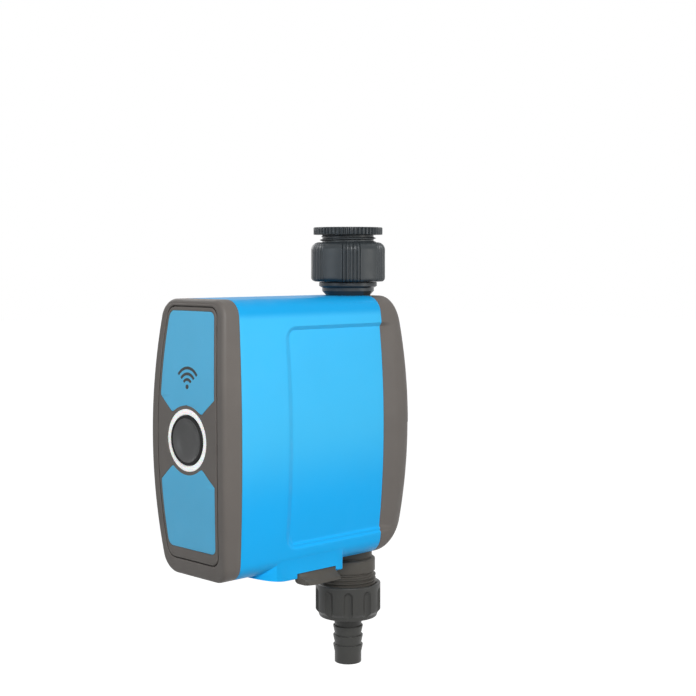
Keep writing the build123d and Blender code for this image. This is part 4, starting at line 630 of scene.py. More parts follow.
def moulded(name, rgb, rough=0.4, spread=0.06, mottle=0.05, grain=0.25, size=0.45, specular=0.5,
            cloud=28.0, stretch=None, metallic=0.0, scatter=0.0, coat=0.0, painted_light_bands=None, glow=0.0):
    """Moulded plastic, rubber or metal: cloudy colour, uneven gloss and a fine surface grain, and where
    given, painted light and shade that change with height.
    """
    material, tree, shader, coords = nodes_of(name)
    color = linear(rgb)
    clouds = noise(tree, coords, cloud)
    tones = tree.nodes.new("ShaderNodeValToRGB")
    tones.color_ramp.elements[0].position = 0.3
    tones.color_ramp.elements[1].position = 0.7
    tones.color_ramp.elements[0].color = [c * (1 - mottle) for c in color] + [1]
    tones.color_ramp.elements[1].color = [min(c * (1 + mottle), 1.0) for c in color] + [1]
    tree.links.new(clouds.outputs["Fac"], tones.inputs[0])
    tree.links.new(tones.outputs[0], shader.inputs["Base Color"])
    # Painted light and shade: a colour that changes with height, multiplied into the cloudy tones.
    if painted_light_bands:
        tree.links.new(painted_light_by_height(tree, coords, painted_light_bands, tones.outputs[0]), shader.inputs["Base Color"])
    smears = noise(tree, coords, cloud / 5, stretch=stretch)
    gloss = tree.nodes.new("ShaderNodeMapRange")
    gloss.inputs["From Min"].default_value = 0.3
    gloss.inputs["From Max"].default_value = 0.7
    gloss.inputs["To Min"].default_value = rough - spread
    gloss.inputs["To Max"].default_value = rough + spread
    tree.links.new(smears.outputs["Fac"], gloss.inputs["Value"])
    tree.links.new(gloss.outputs[0], shader.inputs["Roughness"])
    fine = noise(tree, coords, size, 2.0, stretch)
    bump = tree.nodes.new("ShaderNodeBump")
    bump.inputs["Strength"].default_value = grain
    bump.inputs["Distance"].default_value = GRAIN_HEIGHT
    tree.links.new(fine.outputs["Fac"], bump.inputs["Height"])
    tree.links.new(bump.outputs[0], shader.inputs["Normal"])
    shader.inputs["Specular IOR Level"].default_value = specular
    shader.inputs["Metallic"].default_value = metallic
    if glow:
        shader.inputs["Emission Color"].default_value = color + [1]
        shader.inputs["Emission Strength"].default_value = glow
    if scatter:
        shader.inputs["Subsurface Weight"].default_value = scatter
        shader.inputs["Subsurface Scale"].default_value = 0.001
    if coat:
        shader.inputs["Coat Weight"].default_value = coat
        shader.inputs["Coat Roughness"].default_value = 0.15
    return material


MATERIALS = {
    # The case's blue carries painted light and shade by height: darker foot and top rounding, lighter
    # between.
    "blue_case": moulded("blue_case", (255, 255, 255), rough=0.45, mottle=0.025, specular=0.25, painted_light_bands=BLUES_WITH_PAINTED_LIGHT),
    "grey_case": moulded("grey_case", (102, 97, 93), rough=0.5, mottle=0.05, grain=0.4, specular=0.3),
    # A darker copy of grey_case: painted shade for the parts under the case, the drawer's tabs and the outlet
    # pipe.
    "painted_shade_grey": moulded("painted_shade_grey", (80, 77, 72), rough=0.5, mottle=0.06, grain=0.4, specular=0.25),
    "panel": moulded("panel", (94, 194, 239), rough=0.42, mottle=0.03, grain=0.15, specular=0.3),
    "ring": moulded("ring", (246, 246, 244), rough=0.35, mottle=0.01, grain=0.08, scatter=0.3, glow=0.34),
    "button": moulded("button", (74, 74, 74), rough=0.4, mottle=0.05, grain=0.2, specular=0.35),
    "black_union": moulded("black_union", (50, 55, 58), rough=0.34, mottle=0.1, grain=0.25, specular=0.35),
    "grey_union": moulded("grey_union", (62, 62, 60), rough=0.4, mottle=0.08, grain=0.3, specular=0.3),
    "seal": moulded("seal", (20, 20, 21), rough=0.6, mottle=0.1, grain=0.5, specular=0.2),
    "white_plastic": moulded("white_plastic", (226, 224, 216), rough=0.4, mottle=0.03),
    "inner_plastic": moulded("inner_plastic", (56, 57, 59), rough=0.5, mottle=0.06, grain=0.4),
    "board": moulded("board", (22, 92, 52), rough=0.35, mottle=0.12, cloud=6.0),
    "steel": moulded("steel", (188, 188, 186), rough=0.28, mottle=0.05, metallic=1.0, stretch=(1, 1, 9)),
    "brass": moulded("brass", (196, 158, 84), rough=0.27, mottle=0.06, metallic=1.0, stretch=(1, 1, 9)),
    "cell": moulded("cell", (52, 54, 58), rough=0.3, mottle=0.1, cloud=16.0, coat=0.4),
    "lead": moulded("lead", (158, 34, 30), rough=0.42, mottle=0.06),
    "light": moulded("light", (240, 238, 200), rough=0.25, mottle=0.03),
}
for part in frame["record"]["subparts"]:
    material_slot(frame["nodes"][part["node"]], MATERIALS[part["material_slot"]])


# Case shell with its side recesses, battery collar and openings

def make_shell():
    edge = [rolled(SEAM_EDGE, a) for a in EDGE_ANGLES]
    rows = [case_row(cut, lambda h, b=back: seam(h) + b) for cut, back in edge]
    for i in range(1, 13):
        rows.append(case_row(0, lambda h, t=i / 12: (seam(h) + SEAM_EDGE) * (1 - t) + STRAIGHT_Y * t))
    levels = [STRAIGHT_Y + 0.5 * i for i in range(1, 25)]
    levels += [levels[-1] + (-SEAM_EDGE - levels[-1]) * i / 20 for i in range(1, 21)]
    rows += [case_row(recess, lambda h, y=y: y) for y in levels]
    for cut, back in edge[::-1][1:]:
        rows.append(case_row(lambda y, h, c=cut: recess(y, h) + c, lambda h, b=back: -b))
    for i in range(11):
        rows.append(case_row(WALL, lambda h, t=i / 10: seam(h) * t))
    shell = add_mesh("case_shell", *loft(rows, loop=True))
    collar = prism(slot_outline(*COLLAR), COLLAR_BOTTOM, COLLAR_TOP, edge=COLLAR_EDGE)
    carve(shell, *collar, "UNION")
    inner = slot_outline(*COLLAR, inset=COLLAR_WALL)
    carve(shell, *prism(inner, COLLAR_BOTTOM - 1, POCKET_TOP))
    x, front_y, rear_y, corner = TRAY
    tray = [(-x, front_y, corner), (x, front_y, corner), (x, rear_y, corner), (-x, rear_y, corner)]
    carve(shell, *prism(rounded(tray), POCKET_TOP - 1, COLLAR_TOP + 1))
    front_y, rear_y, top = NOTCH
    notch = [(-PAST, front_y), (PAST, front_y), (PAST, rear_y), (-PAST, rear_y)]
    carve(shell, *prism(notch, COLLAR_BOTTOM - 1, top))
    carve(shell, *openings())
    carve(shell, *bar(keel(0.0), -PAST, PAST))
    own(shell, "housing", "blue_case", "main_shell")


def make_drawer():
    """The battery drawer, with finger tabs that have a rounded nose, and a foot that follows the collar's."""
    drawer = bpy.data.objects.new("battery_tray", frame["nodes"]["battery_drawer"].data.copy())
    scene.collection.objects.link(drawer)
    foot = COLLAR_BOTTOM + PLATE_LIFT
    below = TAB_BOTTOM - 1
    front_y, rear_y = TAB_SPACE
    block = [(front_y, foot), (rear_y, foot), (rear_y, below), (front_y, below)]
    carve(drawer, *bar(block, -TAB_INNER_X, TAB_INNER_X))
    tip = NOTCH[0] + PLATE_LIFT - 0.2
    arc = [math.pi / 2 * i / 10 for i in range(11)]
    nose = [(tip + TAB_NOSE * (1 - math.cos(a)), COLLAR_BOTTOM - (COLLAR_BOTTOM - TAB_BOTTOM) * math.sin(a))
            for a in arc]
    nose += [(tip + TAB_NOSE, below), (tip - 9, below), (tip - 9, COLLAR_BOTTOM)]
    for side in (-1, 1):
        carve(drawer, *bar(nose, side * (TAB_INNER_X - 0.2), side * PAST))
    carve(drawer, *bar(keel(PLATE_LIFT), -PLATE_HALF_WIDTH, PLATE_HALF_WIDTH))
    # The drawer takes the darker grey copy: painted shade under the case.
    own(drawer, "battery_drawer", "grey_case", "battery_drawer", sharp=35, look="painted_shade_grey")


# Front frame, panel, labels, ring and button

def between(a, b, t, level):
    """A ring of points a share t of the way from outline a to outline b, at level(h) along Y."""
    return [
        (p[0] + (q[0] - p[0]) * t, level(p[1] + (q[1] - p[1]) * t), MID_Z + p[1] + (q[1] - p[1]) * t)
        for p, q in zip(a, b)
    ]


def drawn_in(points, cut):
    return [(x - nx * cut, h - nh * cut) for x, h, nx, nh in points]


def ring_hole(points):
    """The round hole for the light ring, with a point for each one of the outline about it."""
    wide, high = PANEL_SPAN
    angles = [math.atan2(h / high, x / wide) for x, h, _, _ in points]
    radius = RING_R + RING_GAP
    return [(radius * math.cos(a), radius * math.sin(a)) for a in angles]


def make_bezel():
    """The front frame: side, rounded front edge, face, panel pocket, ring hole and the walls behind."""
    def seat(h):
        return front(h) + PANEL_THICKNESS + PANEL_SEAT_GAP

    def inner_face(h):
        return front(h) + FRONT_WALL

    pocket = outline(*POCKET)
    radius = FRONT_EDGE_R
    rows = []
    for cut, back in (rolled(SEAM_EDGE, a) for a in EDGE_ANGLES):
        rows.append(case_row(cut, lambda h, b=back: seam(h) - b))
    for t in (0.25, 0.5, 0.75, 1.0):
        rows.append(case_row(0, lambda h, t=t: (seam(h) - SEAM_EDGE) * (1 - t) + (front(h) + radius) * t))
    for i in range(1, FRONT_EDGE_STEPS + 1):
        back, cut = rolled(radius, math.pi / 2 * i / FRONT_EDGE_STEPS)
        rows.append(case_row(cut, lambda h, b=back: front(h) + b))
    rim = drawn_in(CASE, radius)
    mouth = drawn_in(pocket, -PANEL_EDGE_R)
    for t in (0.3, 0.65, 1.0):
        rows.append(between(rim, mouth, t, front))
    for a in (0.5, 1.0, math.pi / 2):
        ring = drawn_in(pocket, -PANEL_EDGE_R * (1 - math.sin(a)))
        rows.append(between(ring, ring, 0, lambda h, a=a: front(h) + PANEL_EDGE_R * (1 - math.cos(a))))
    ring = drawn_in(pocket, 0)
    rows.append(between(ring, ring, 0, seat))
    centre = ring_hole(pocket)
    for t in (0.5, 1.0):
        rows.append(between(ring, centre, t, seat))
    rows.append(between(centre, centre, 0, inner_face))
    inside = drawn_in(CASE, WALL)
    for t in (0.5, 1.0):
        rows.append(between(centre, inside, t, inner_face))
    rows.append(case_row(WALL, seam))
    bezel = add_mesh("front_frame", *loft(rows, loop=True))
    own(bezel, "housing", "grey_case", "front_bezel")


def make_panel():
    """The inset plate, with a rounded rim and shallow beds for the labels."""
    def back(h):
        return front(h) + PANEL_THICKNESS

    plate = outline(*PANEL)
    ring = drawn_in(plate, 0)
    rows = [between(ring, ring, 0, back)]
    for a in (0, 0.5, 1.0, math.pi / 2):
        ring = drawn_in(plate, PANEL_EDGE_R * (1 - math.cos(a)))
        rows.append(between(ring, ring, 0, lambda h, a=a: front(h) + PANEL_EDGE_R * (1 - math.sin(a))))
    centre = ring_hole(plate)
    for i in range(1, FACE_STEPS + 1):
        rows.append(between(ring, centre, i / FACE_STEPS, front))
    rows.append(between(centre, centre, 0, back))
    rows.append(between(centre, drawn_in(plate, 0), 0.5, back))
    panel = add_mesh("panel_plate", *loft(rows, loop=True))
    for level in (1, -1):
        carve(panel, *curved_plate(label_points(level, LABEL_RELIEF), -2.0, 0.5, 0.0))
    own(panel, "housing", "grey_case", "front_panel")


def label_points(level, grow=0.0):
    """A label's outline in X and h, counter-clockwise: bowed sides, rounded ends, an arc round the ring."""
    end = (LABEL_TOP if level > 0 else LABEL_BOTTOM) + grow

    def side(h):
        return PANEL[0] - sag(PANEL_BOW_R, h) - LABEL_MARGIN + grow

    arc_r = LABEL_ARC_R - grow
    tip_h = LABEL_TIP[1] - grow
    start = math.asin(tip_h / arc_r)
    half = [(arc_r * math.cos(a), arc_r * math.sin(a))
            for a in (math.pi / 2 + (start - math.pi / 2) * i / 16 for i in range(17))]
    half.append((LABEL_TIP[0] + grow * 0.5, tip_h, 0.4))
    shoulder = tip_h
    while LABEL_TIP[0] + (shoulder - tip_h) / LABEL_SLOPE < side(shoulder) - grow * 0.4:
        shoulder += 0.01
    half.append((side(shoulder), shoulder, 0.6))
    half += [(side(h), h) for h in (shoulder + (end - LABEL_R - shoulder) * i / 20 for i in range(1, 20))]
    half.append((side(end), end, LABEL_R + grow))
    half.append((0.0, end))
    half = rounded(half, steps=8)
    whole = half + [(-x, h) for x, h in half[1:-1][::-1]]
    return whole if level > 0 else [(x, -h) for x, h in whole[::-1]]


def curved_plate(points, near, far, edge):
    """A plate on an outline in X and h that follows the bowed front, from near to far behind it."""
    work = bmesh.new()
    face = work.faces.new([work.verts.new((x, 0, h)) for x, h in points])
    bmesh.ops.triangulate(work, faces=[face])
    low, high = min(p[1] for p in points), max(p[1] for p in points)
    count = max(2, int((high - low) / 1.2))
    for i in range(1, count):
        bmesh.ops.bisect_plane(
            work, geom=work.verts[:] + work.edges[:] + work.faces[:], dist=1e-5,
            plane_co=(0, 0, low + (high - low) * i / count), plane_no=(0, 0, 1),
        )
    bmesh.ops.recalc_face_normals(work, faces=work.faces)
    flat = work.faces[:]
    made = bmesh.ops.extrude_face_region(work, geom=flat)
    moved = {v for v in made["geom"] if isinstance(v, bmesh.types.BMVert)}
    for v in work.verts:
        v.co.y = front(v.co.z) + (near if v in moved else far)
    if edge:
        rim = [e for e in work.edges if len(e.link_faces) == 2 and all(v in moved for v in e.verts)
               and e.calc_face_angle(0) > 1.0]
        bmesh.ops.bevel(work, geom=rim, offset=edge, segments=2, affect="EDGES", profile=0.5)
    for v in work.verts:
        v.co.z += MID_Z
    work.verts.index_update()
    verts = [tuple(v.co) for v in work.verts]
    faces = [tuple(v.index for v in f.verts) for f in work.faces]
    work.free()
    return verts, faces


def make_labels():
    """The two coloured fields, and the plain signal arcs over a dot on the upper one."""
    for level, name in ((1, "upper_label"), (-1, "lower_label")):
        plate = add_mesh(name + "_plate", *curved_plate(label_points(level), 0.03, 0.45, 0.12))
        own(plate, "housing", "panel", name, sharp=50)
    marks = [circle(MARK_DOT_R, 0.0, MARK_H, MARK_STEPS)]
    first = math.pi / 2 - MARK_HALF_ANGLE
    angles = [first + 2 * MARK_HALF_ANGLE * i / MARK_STEPS for i in range(MARK_STEPS + 1)]
    for radius in MARK_ARCS:
        outer, inner = radius + MARK_HALF_WIDTH, radius - MARK_HALF_WIDTH
        arc = [(outer * math.cos(a), MARK_H + outer * math.sin(a)) for a in angles]
        marks.append(arc + [(inner * math.cos(a), MARK_H + inner * math.sin(a)) for a in angles[::-1]])
    plates = [curved_plate(points, -0.05, 0.2, 0.0) for points in marks]
    own(add_mesh("signal_mark", *join(plates)), "housing", "black_union", sharp=50)


def make_ring():
    """The white light ring, with a flange behind the bezel."""
    near = FRONT_Y + FRONT_WALL + sag(FRONT_BOW_R, RING_FLANGE_R) + 0.05
    far = near + RING_FLANGE
    end = RING_FRONT_Y + RING_LENGTH
    profile = rounded([
        (RING_BORE_R, RING_FRONT_Y, 0.2), (RING_R, RING_FRONT_Y, 0.3), (RING_R, near), (RING_FLANGE_R, near),
        (RING_FLANGE_R, far), (RING_R, far), (RING_R, end), (RING_BORE_R, end),
    ])
    own(add_mesh("light_band", *turned(profile, up=False)), "housing", "ring", "light_ring")


def make_button():
    """The dished button with its stem, and its rolled rim, near-black as painted shade in the groove round
    the button.
    """
    y = BUTTON_FRONT_Y
    radius, lift, depth = BUTTON_DISH
    profile = [(radius * t, y + lift + depth * (1 - t**4)) for t in (i / 24 for i in range(25))]
    profile += rounded([
        (BUTTON_R - 0.1, y + 0.05, 0.15), (BUTTON_R, y + 0.4, 0.1), (BUTTON_R, y + BUTTON_THICKNESS)
    ])
    profile += [(BUTTON_STEM_R, y + BUTTON_THICKNESS), (BUTTON_STEM_R, BUTTON_STEM_Y), (0.0, BUTTON_STEM_Y)]
    cap = add_mesh("push_button", *turned(profile, up=False, loop=False))
    own(cap, "button", "button", "button_cap", sharp=40)
    profile = rounded([
        (RIM_INNER_R, y + 0.1, 0.1), (RIM_R - 0.15, y, 0.35), (RIM_R, y + 0.8, 0.3),
        (RIM_R, y + RIM_LENGTH), (RIM_INNER_R, y + RIM_LENGTH),
    ])
    # The rim takes the seal's near-black: painted shade for the groove between the button and the ring.
    own(add_mesh("button_painted_shade_rim", *turned(profile, up=False)), "button", "seal", "button_cap")


# Rear cover

def make_cover():
    """The rear cover: sides, wide rounding at its ends, narrow rounding at its sides, a bowed back."""
    side, top, bottom = REAR_INSET
    target = outline(CASE_HALF_WIDTH - side, CASE_HALF_HEIGHT - top, bottom - CASE_HALF_HEIGHT,
                     CASE_SIDE_R, REAR_CORNER_R)

    def back(x, h):
        return REAR_DEPTH - sag(REAR_BOW_R, h) - REAR_CROWN * (x / CASE_HALF_WIDTH) ** 2

    def depth(nh):
        end = REAR_TOP_ROUND if nh > 0 else REAR_BOTTOM_ROUND
        return REAR_SIDE_ROUND + (end - REAR_SIDE_ROUND) * (nh**2 + 0.002) ** 0.25

    def skin(inset, start):
        """Rows from the split plane to the middle of the back."""
        rows = []
        for i in range(start, ROUND_STEPS + 1):
            row = []
            for x, h, nx, nh in CASE:
                end = back(x, h) - depth(nh)
                y = max(end * i / ROUND_STEPS, SEAM_EDGE)
                cut = inset + (recess(y, h) if not inset else 0)
                row.append((x - nx * cut, y, MID_Z + h - nh * cut))
            rows.append(row)
        for i in range(1, ROUND_STEPS + 1):
            a = math.pi / 2 * i / ROUND_STEPS
            row = []
            for (x, h, nx, nh), (tx, th, _, _) in zip(CASE, target):
                t = 1 - math.cos(a)
                px, ph = x + (tx - x) * t, h + (th - h) * t
                y = back(px, ph) - depth(nh) * (1 - math.sin(a)) - inset * math.sin(a)
                cut = (inset + (recess(y, ph) if not inset else 0)) * math.cos(a)
                row.append((px - nx * cut, y, MID_Z + ph - nh * cut))
            rows.append(row)
        for i in range(1, BACK_STEPS + 1):
            t = i / BACK_STEPS
            row = []
            for tx, th, _, _ in target:
                px, ph = tx * (1 - t), th * (1 - t * 0.55)
                row.append((px, back(px, ph) - inset, MID_Z + ph))
            rows.append(row)
        return rows

    edge = []
    for cut, back_by in (rolled(SEAM_EDGE, a) for a in EDGE_ANGLES[:-1]):
        edge.append(case_row(lambda y, h, c=cut: recess(0, h) + c, lambda h, b=back_by: b))
    rim = case_row(WALL, lambda h: 0.0)
    rows = skin(0.0, 0)[::-1] + edge[::-1] + [rim] + skin(WALL, 1)
    cover = add_mesh("rear_shell", *loft(rows))

    # The bosses are trimmed to a closed copy of the skin drawn in a little, so that they end under it
    bosses = add_mesh("bosses", *screws(BOSS_R, *BOSS_ENDS, 40))
    verts, faces = loft([case_row(BOSS_SKIN, lambda h: 0.2)] + skin(BOSS_SKIN, 1))
    carve(bosses, verts, faces + [tuple(range(len(CASE)))], "INTERSECT")
    verts = [tuple(v.co / MM) for v in bosses.data.vertices]
    carve(cover, verts, [tuple(f.vertices) for f in bosses.data.polygons], "UNION")
    bpy.data.objects.remove(bosses)
    carve(cover, *screws(SCREW_WELL_R, SCREW_SEAT, PAST, 40))
    carve(cover, *screws(SCREW_SHANK_R, -1, SCREW_SEAT + 1, 32))
    carve(cover, *openings())
    own(cover, "housing", "grey_case", "rear_cover")


# Unions

def smooth_min(a, b, soft):
    gap = max(soft - abs(a - b), 0.0) / soft
    return min(a, b) - gap**2 * soft / 4


def make_swivel_nut():
    """The upper nut: groups of ribs with flats between them."""
    profile = rounded([
        (NUT_THROAT_R, NUT_BOTTOM), (NUT_R, NUT_BOTTOM, 1.7), (NUT_R, NUT_TOP, 3.4),
        (NUT_BORE_R + 0.5, NUT_TOP), (NUT_BORE_R, NUT_TOP - 0.8), (NUT_BORE_R, NUT_SHELF),
        (NUT_THROAT_R, NUT_SHELF),
    ], steps=8)
    sector = TAU / NUT_GROUPS
    half_group = NUT_RIBS / 2 * NUT_RIB_PITCH

    def shape(r, z, normal, angle):
        if r < NUT_CORE_R:
            return r, z
        off = (angle - NUT_TURN + sector / 2) % sector - sector / 2
        away = abs(off) - half_group
        if away > 0:
            flat = (math.cos(sector / 2 - half_group) / math.cos(sector / 2 - abs(off)) - 1) * NUT_R
            cut = NUT_FLAT_DEPTH * ramp(away / math.radians(1.2)) - 0.3 * flat
        else:
            beat = (off / NUT_RIB_PITCH + 0.5) % 1.0 - 0.5
            cut = NUT_RIB_DEPTH * ramp((abs(beat) - 0.2) / 0.22)
        push = min(1.0, (r - NUT_CORE_R) / 2.0)
        return r - normal.x * cut * push, z - normal.y * cut * push

    nut = add_mesh("inlet_nut", *turned(divided(profile, 1.2), 540, shape))
    own(nut, "swivel_nut", "black_union", "swivel_nut", sharp=38)


def make_adapter():
    """The adapter on top: toothed flange, threaded pipe, and the bore with the washer's undercut."""
    count = 400
    low, high = ADAPTER_THREAD
    profile = rounded([
        (THREAD_ROOT_R, high), (THREAD_ROOT_R, FLANGE_BOTTOM), (FLANGE_R, FLANGE_BOTTOM, 0.3),
        (FLANGE_R, 0.0, 0.4), (TAP_R + 0.88, 0.0, 0.3), (TAP_R, -0.9), (TAP_R, TAP_DEPTH),
        (TAP_WASHER_R, TAP_DEPTH), (TAP_WASHER_R, TAP_FLOOR), (ADAPTER_BORE_R, TAP_FLOOR),
        (ADAPTER_BORE_R, ADAPTER_BOTTOM, 0.3), (THREAD_ROOT_R - 0.3, ADAPTER_BOTTOM, 0.2),
        (THREAD_ROOT_R, low),
    ])

    def shape(r, z, normal, angle):
        if r < FLANGE_CORE_R:
            return r, z
        beat = abs((angle / TAU * FLANGE_TEETH) % 1.0 - 0.5) * 2
        push = min(1.0, (r - FLANGE_CORE_R) / 0.4)
        return r - TOOTH_DEPTH * ramp((beat - 0.4) / 0.25, 0.1) * push, z

    whole = join([turned(profile, count, shape, loop=False), thread(low, high, count)])
    own(add_mesh("tap_union", *whole), "tap_adapter", "black_union", "tap_adapter", sharp=38)


def make_inlet_collar():
    """The stepped collar between the upper nut and the case."""
    profile = rounded([
        (PIPE_R, NECK_TOP), (NECK_RING_R, NECK_TOP, 0.3), (NECK_RING_R, NECK_RING_BOTTOM, 0.35),
        (NECK_STEP_R, NECK_STEP_TOP, 0.2), (NECK_STEP_R, NECK_STEP_BOTTOM, 0.3),
        (NECK_R, NECK_WAIST_TOP, 0.1), (NECK_R, NECK_BOTTOM), (PIPE_R, NECK_BOTTOM),
    ])
    own(add_mesh("inlet_neck", *turned(profile, 128)), "housing", "black_union", "inlet_collar")


def make_outlet():
    """The outlet pipe: thread, plain band and groove below the case, and the pipe up to the valve."""
    count = 240
    low, high = OUTLET_THREAD
    band_low, band_high = OUTLET_BAND
    groove = band_high + 0.7
    profile = rounded([
        (THREAD_ROOT_R, high), (THREAD_ROOT_R, OUTLET_BAND_FOOT), (OUTLET_BAND_R, band_low, 0.15),
        (OUTLET_BAND_R, band_high, 0.3), (OUTLET_SHOULDER_R, groove, 0.1), (OUTLET_GROOVE_R, groove, 0.1),
        (OUTLET_GROOVE_R, OUTLET_GROOVE_TOP, 0.1), (OUTLET_COLLAR_R, OUTLET_COLLAR_BOTTOM),
        (OUTLET_COLLAR_R, OUTLET_CASE_Z), (PIPE_R, OUTLET_CASE_Z), (PIPE_R, OUTLET_TOP, 0.3),
        (WATER_R, OUTLET_TOP, 0.3), (WATER_R, OUTLET_BOTTOM, 0.3), (OUTLET_MOUTH_R, OUTLET_BOTTOM, 0.3),
        (THREAD_ROOT_R, low),
    ])
    whole = join([turned(profile, count, loop=False), thread(low, high, count)])
    pipe = add_mesh("outlet_pipe", *whole)
    # The outlet pipe takes the darker grey copy: painted shade under the case.
    own(pipe, "housing", "grey_case", "outlet_spigot", sharp=38, look="painted_shade_grey")


def make_coupling_nut():
    """The lower nut: flutes with round tops, over a narrower lip."""
    lip = LOCK_BOTTOM + LOCK_LIP
    profile = rounded([
        (LOCK_MOUTH_R, LOCK_BOTTOM), (LOCK_MOUTH_R + 1.0, LOCK_BOTTOM, 0.3),
        (LOCK_LIP_R - 0.5, LOCK_BOTTOM + 0.5, 0.5), (LOCK_LIP_R, lip - 1.5, 0.4), (LOCK_R, lip, 0.6),
        (LOCK_R, LOCK_TOP, 0.9), (NUT_BORE_R + 0.8, LOCK_TOP, 0.3), (NUT_BORE_R, LOCK_TOP - 0.8),
        (NUT_BORE_R, LOCK_SEAT), (LOCK_MOUTH_R, LOCK_SEAT),
    ], steps=6)
    centre = LOCK_R + FLUTE_R - FLUTE_DEPTH
    sector = TAU / FLUTES

    def shape(r, z, normal, angle):
        if r < LOCK_CORE_R or z < LOCK_BOTTOM + 1.0:
            return r, z
        off = (angle - FLUTE_TURN + sector / 2) % sector - sector / 2
        reach = FLUTE_R**2 - (centre * math.sin(off)) ** 2 - max(z - FLUTE_ARCH, 0) ** 2
        if reach <= 0:
            return r, z
        return smooth_min(r, centre * math.cos(off) - math.sqrt(reach), 0.12), z

    nut = add_mesh("outlet_nut", *turned(divided(profile, 0.5), 480, shape))
    own(nut, "coupling_nut", "grey_union", "coupling_nut", sharp=38)


def make_hose_tail():
    """The flanged tail with its barbs, whose steps face the nut."""
    profile = [
        (TAIL_BORE_R, TAIL_TOP), (TAIL_FLANGE_R, TAIL_TOP, 0.2), (TAIL_FLANGE_R, TAIL_FLANGE_BOTTOM, 0.4),
        (TAIL_R, TAIL_FLANGE_BOTTOM, 0.3),
    ]
    for i in range(BARBS - 1, -1, -1):
        low = TAIL_BOTTOM + BARB_START + BARB_PITCH * i
        profile += [
            (TAIL_R, low + BARB_LENGTH), (BARB_R, low + BARB_LENGTH, 0.15), (BARB_R, low + BARB_SLOPE, 0.15),
            (TAIL_R, low),
        ]
    profile += [(TAIL_R, TAIL_BOTTOM, 0.4), (TAIL_BORE_R, TAIL_BOTTOM, 0.3)]
    own(add_mesh("barbed_tail", *turned(rounded(profile), 96)), "hose_tail", "grey_union", "hose_tail")


make_shell()
make_drawer()
make_bezel()
make_panel()
make_labels()
make_ring()
make_button()
make_cover()
make_swivel_nut()
make_adapter()
make_inlet_collar()
make_outlet()
make_coupling_nut()
make_hose_tail()


# Camera, at the photograph's place

camera = bpy.data.objects.new("camera", bpy.data.cameras.new("camera"))
scene.collection.objects.link(camera)
forward = Vector((
    -math.sin(AZIMUTH) * math.cos(PITCH_DOWN), math.cos(AZIMUTH) * math.cos(PITCH_DOWN), -math.sin(PITCH_DOWN)
))
right = Vector((math.cos(AZIMUTH), math.sin(AZIMUTH), 0))
above = right.cross(forward)
place = Matrix((right, above, -forward)).transposed().to_4x4()
place.translation = (DISTANCE * math.sin(AZIMUTH), -DISTANCE * math.cos(AZIMUTH), CAMERA_Z)
camera.matrix_world = place
camera.data.sensor_fit = "HORIZONTAL"
camera.data.sensor_width = 36.0
camera.data.lens = camera.data.sensor_width * FOCAL_LENGTH / PICTURE_WIDTH
camera.data.clip_start = 0.01
scene.camera = camera


# Floor, world and lamps

def seen_rays(tree, clamp=False):
    """One on rays from the camera, a mirror or glass, which are to meet a plain white background."""
    path = tree.nodes.new("ShaderNodeLightPath")
    total = path.outputs["Is Camera Ray"]
    for kind in ("Is Glossy Ray", "Is Transmission Ray"):
        more = tree.nodes.new("ShaderNodeMath")
        more.operation = "ADD"
        more.use_clamp = clamp
        tree.links.new(total, more.inputs[0])
        tree.links.new(path.outputs[kind], more.inputs[1])
        total = more.outputs[0]
    return total


def staged_floor():
    mesh = bpy.data.meshes.new("floor")
    size, level = FLOOR_HALF_SIZE, FLOOR_Z
    mesh.from_pydata([(-size, -size, level), (size, -size, level), (size, size, level), (-size, size, level)],
                     [], [(0, 1, 2, 3)])
    floor = bpy.data.objects.new("floor", mesh)
    scene.collection.objects.link(floor)
    material, tree, shader, _ = nodes_of("floor")
    shader.inputs["Base Color"].default_value = (FLOOR_TONE, FLOOR_TONE, FLOOR_TONE, 1)
    shader.inputs["Roughness"].default_value = 0.9
    glow = tree.nodes.new("ShaderNodeMath")
    glow.operation = "MULTIPLY"
    glow.inputs[1].default_value = FLOOR_GLOW
    tree.links.new(seen_rays(tree), glow.inputs[0])
    shader.inputs["Emission Color"].default_value = (1, 1, 1, 1)
    tree.links.new(glow.outputs[0], shader.inputs["Emission Strength"])
    mesh.materials.append(material)


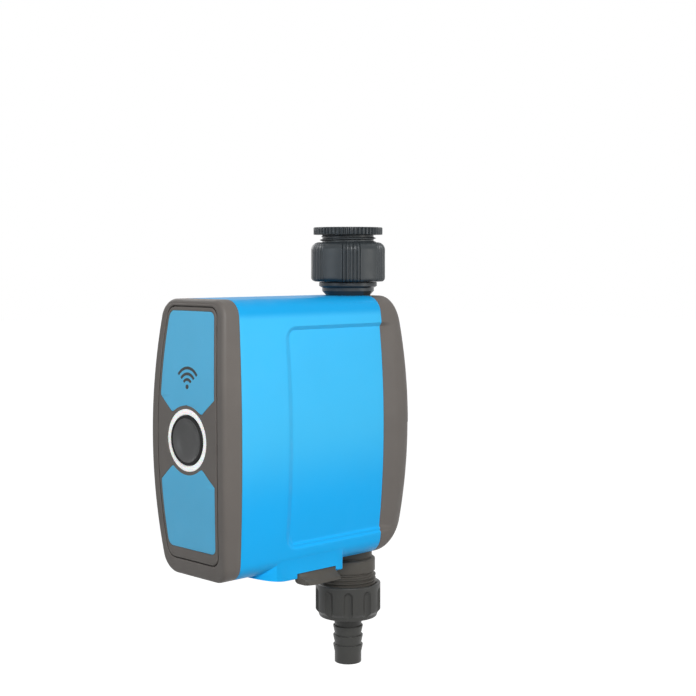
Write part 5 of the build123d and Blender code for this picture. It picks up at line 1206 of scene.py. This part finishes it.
def white_world():
    """A dim light all round, weaker from above, behind a white background."""
    world = bpy.data.worlds.new("studio")
    scene.world = world
    world.use_nodes = True
    tree = world.node_tree
    tree.nodes.clear()
    out = tree.nodes.new("ShaderNodeOutputWorld")
    lit = tree.nodes.new("ShaderNodeBackground")
    lit.inputs["Color"].default_value = (1, 1, 1, 1)
    coords = tree.nodes.new("ShaderNodeTexCoord")
    split = tree.nodes.new("ShaderNodeSeparateXYZ")
    tree.links.new(coords.outputs["Generated"], split.inputs[0])
    level = tree.nodes.new("ShaderNodeMapRange")
    level.inputs["From Min"].default_value = 0.0
    level.inputs["From Max"].default_value = 0.7
    level.inputs["To Min"].default_value = WORLD_LIGHT
    level.inputs["To Max"].default_value = WORLD_LIGHT * WORLD_TOP
    tree.links.new(split.outputs[2], level.inputs["Value"])
    tree.links.new(level.outputs[0], lit.inputs["Strength"])
    seen = tree.nodes.new("ShaderNodeBackground")
    seen.inputs["Color"].default_value = (1, 1, 1, 1)
    seen.inputs["Strength"].default_value = 1.0
    mix = tree.nodes.new("ShaderNodeMixShader")
    tree.links.new(seen_rays(tree, clamp=True), mix.inputs[0])
    tree.links.new(lit.outputs[0], mix.inputs[1])
    tree.links.new(seen.outputs[0], mix.inputs[2])
    tree.links.new(mix.outputs[0], out.inputs[0])


def lamp(name, azimuth, elevation, distance, size, power, color=(1, 1, 1), aim=(0, -0.04, -0.09)):
    """A soft square lamp round the object: azimuth 0 is the front, 90 the side on +X. Aim is in metres."""
    data = bpy.data.lights.new(name, "AREA")
    data.size = size
    data.energy = power
    data.color = color
    light = bpy.data.objects.new(name, data)
    scene.collection.objects.link(light)
    a, e = math.radians(azimuth), math.radians(elevation)
    back = Vector((math.sin(a) * math.cos(e), -math.cos(a) * math.cos(e), math.sin(e)))
    light.location = Vector(aim) + back * distance
    light.rotation_mode = "QUATERNION"
    light.rotation_quaternion = back.to_track_quat("Z", "Y")


staged_floor()
white_world()
lamp("key", 62, 30, 0.7, 0.25, 3.9, aim=(0, -0.04, -0.07))
lamp("fill", -8, 8, 1.0, 0.4, 1.3, color=(0.86, 0.94, 1.0))
lamp("side", 116, 2, 1.0, 0.4, 1.4, color=(1.0, 0.98, 0.93))
lamp("rim", 262, 25, 1.0, 0.6, 3.0)

scene.view_settings.view_transform = "Standard"
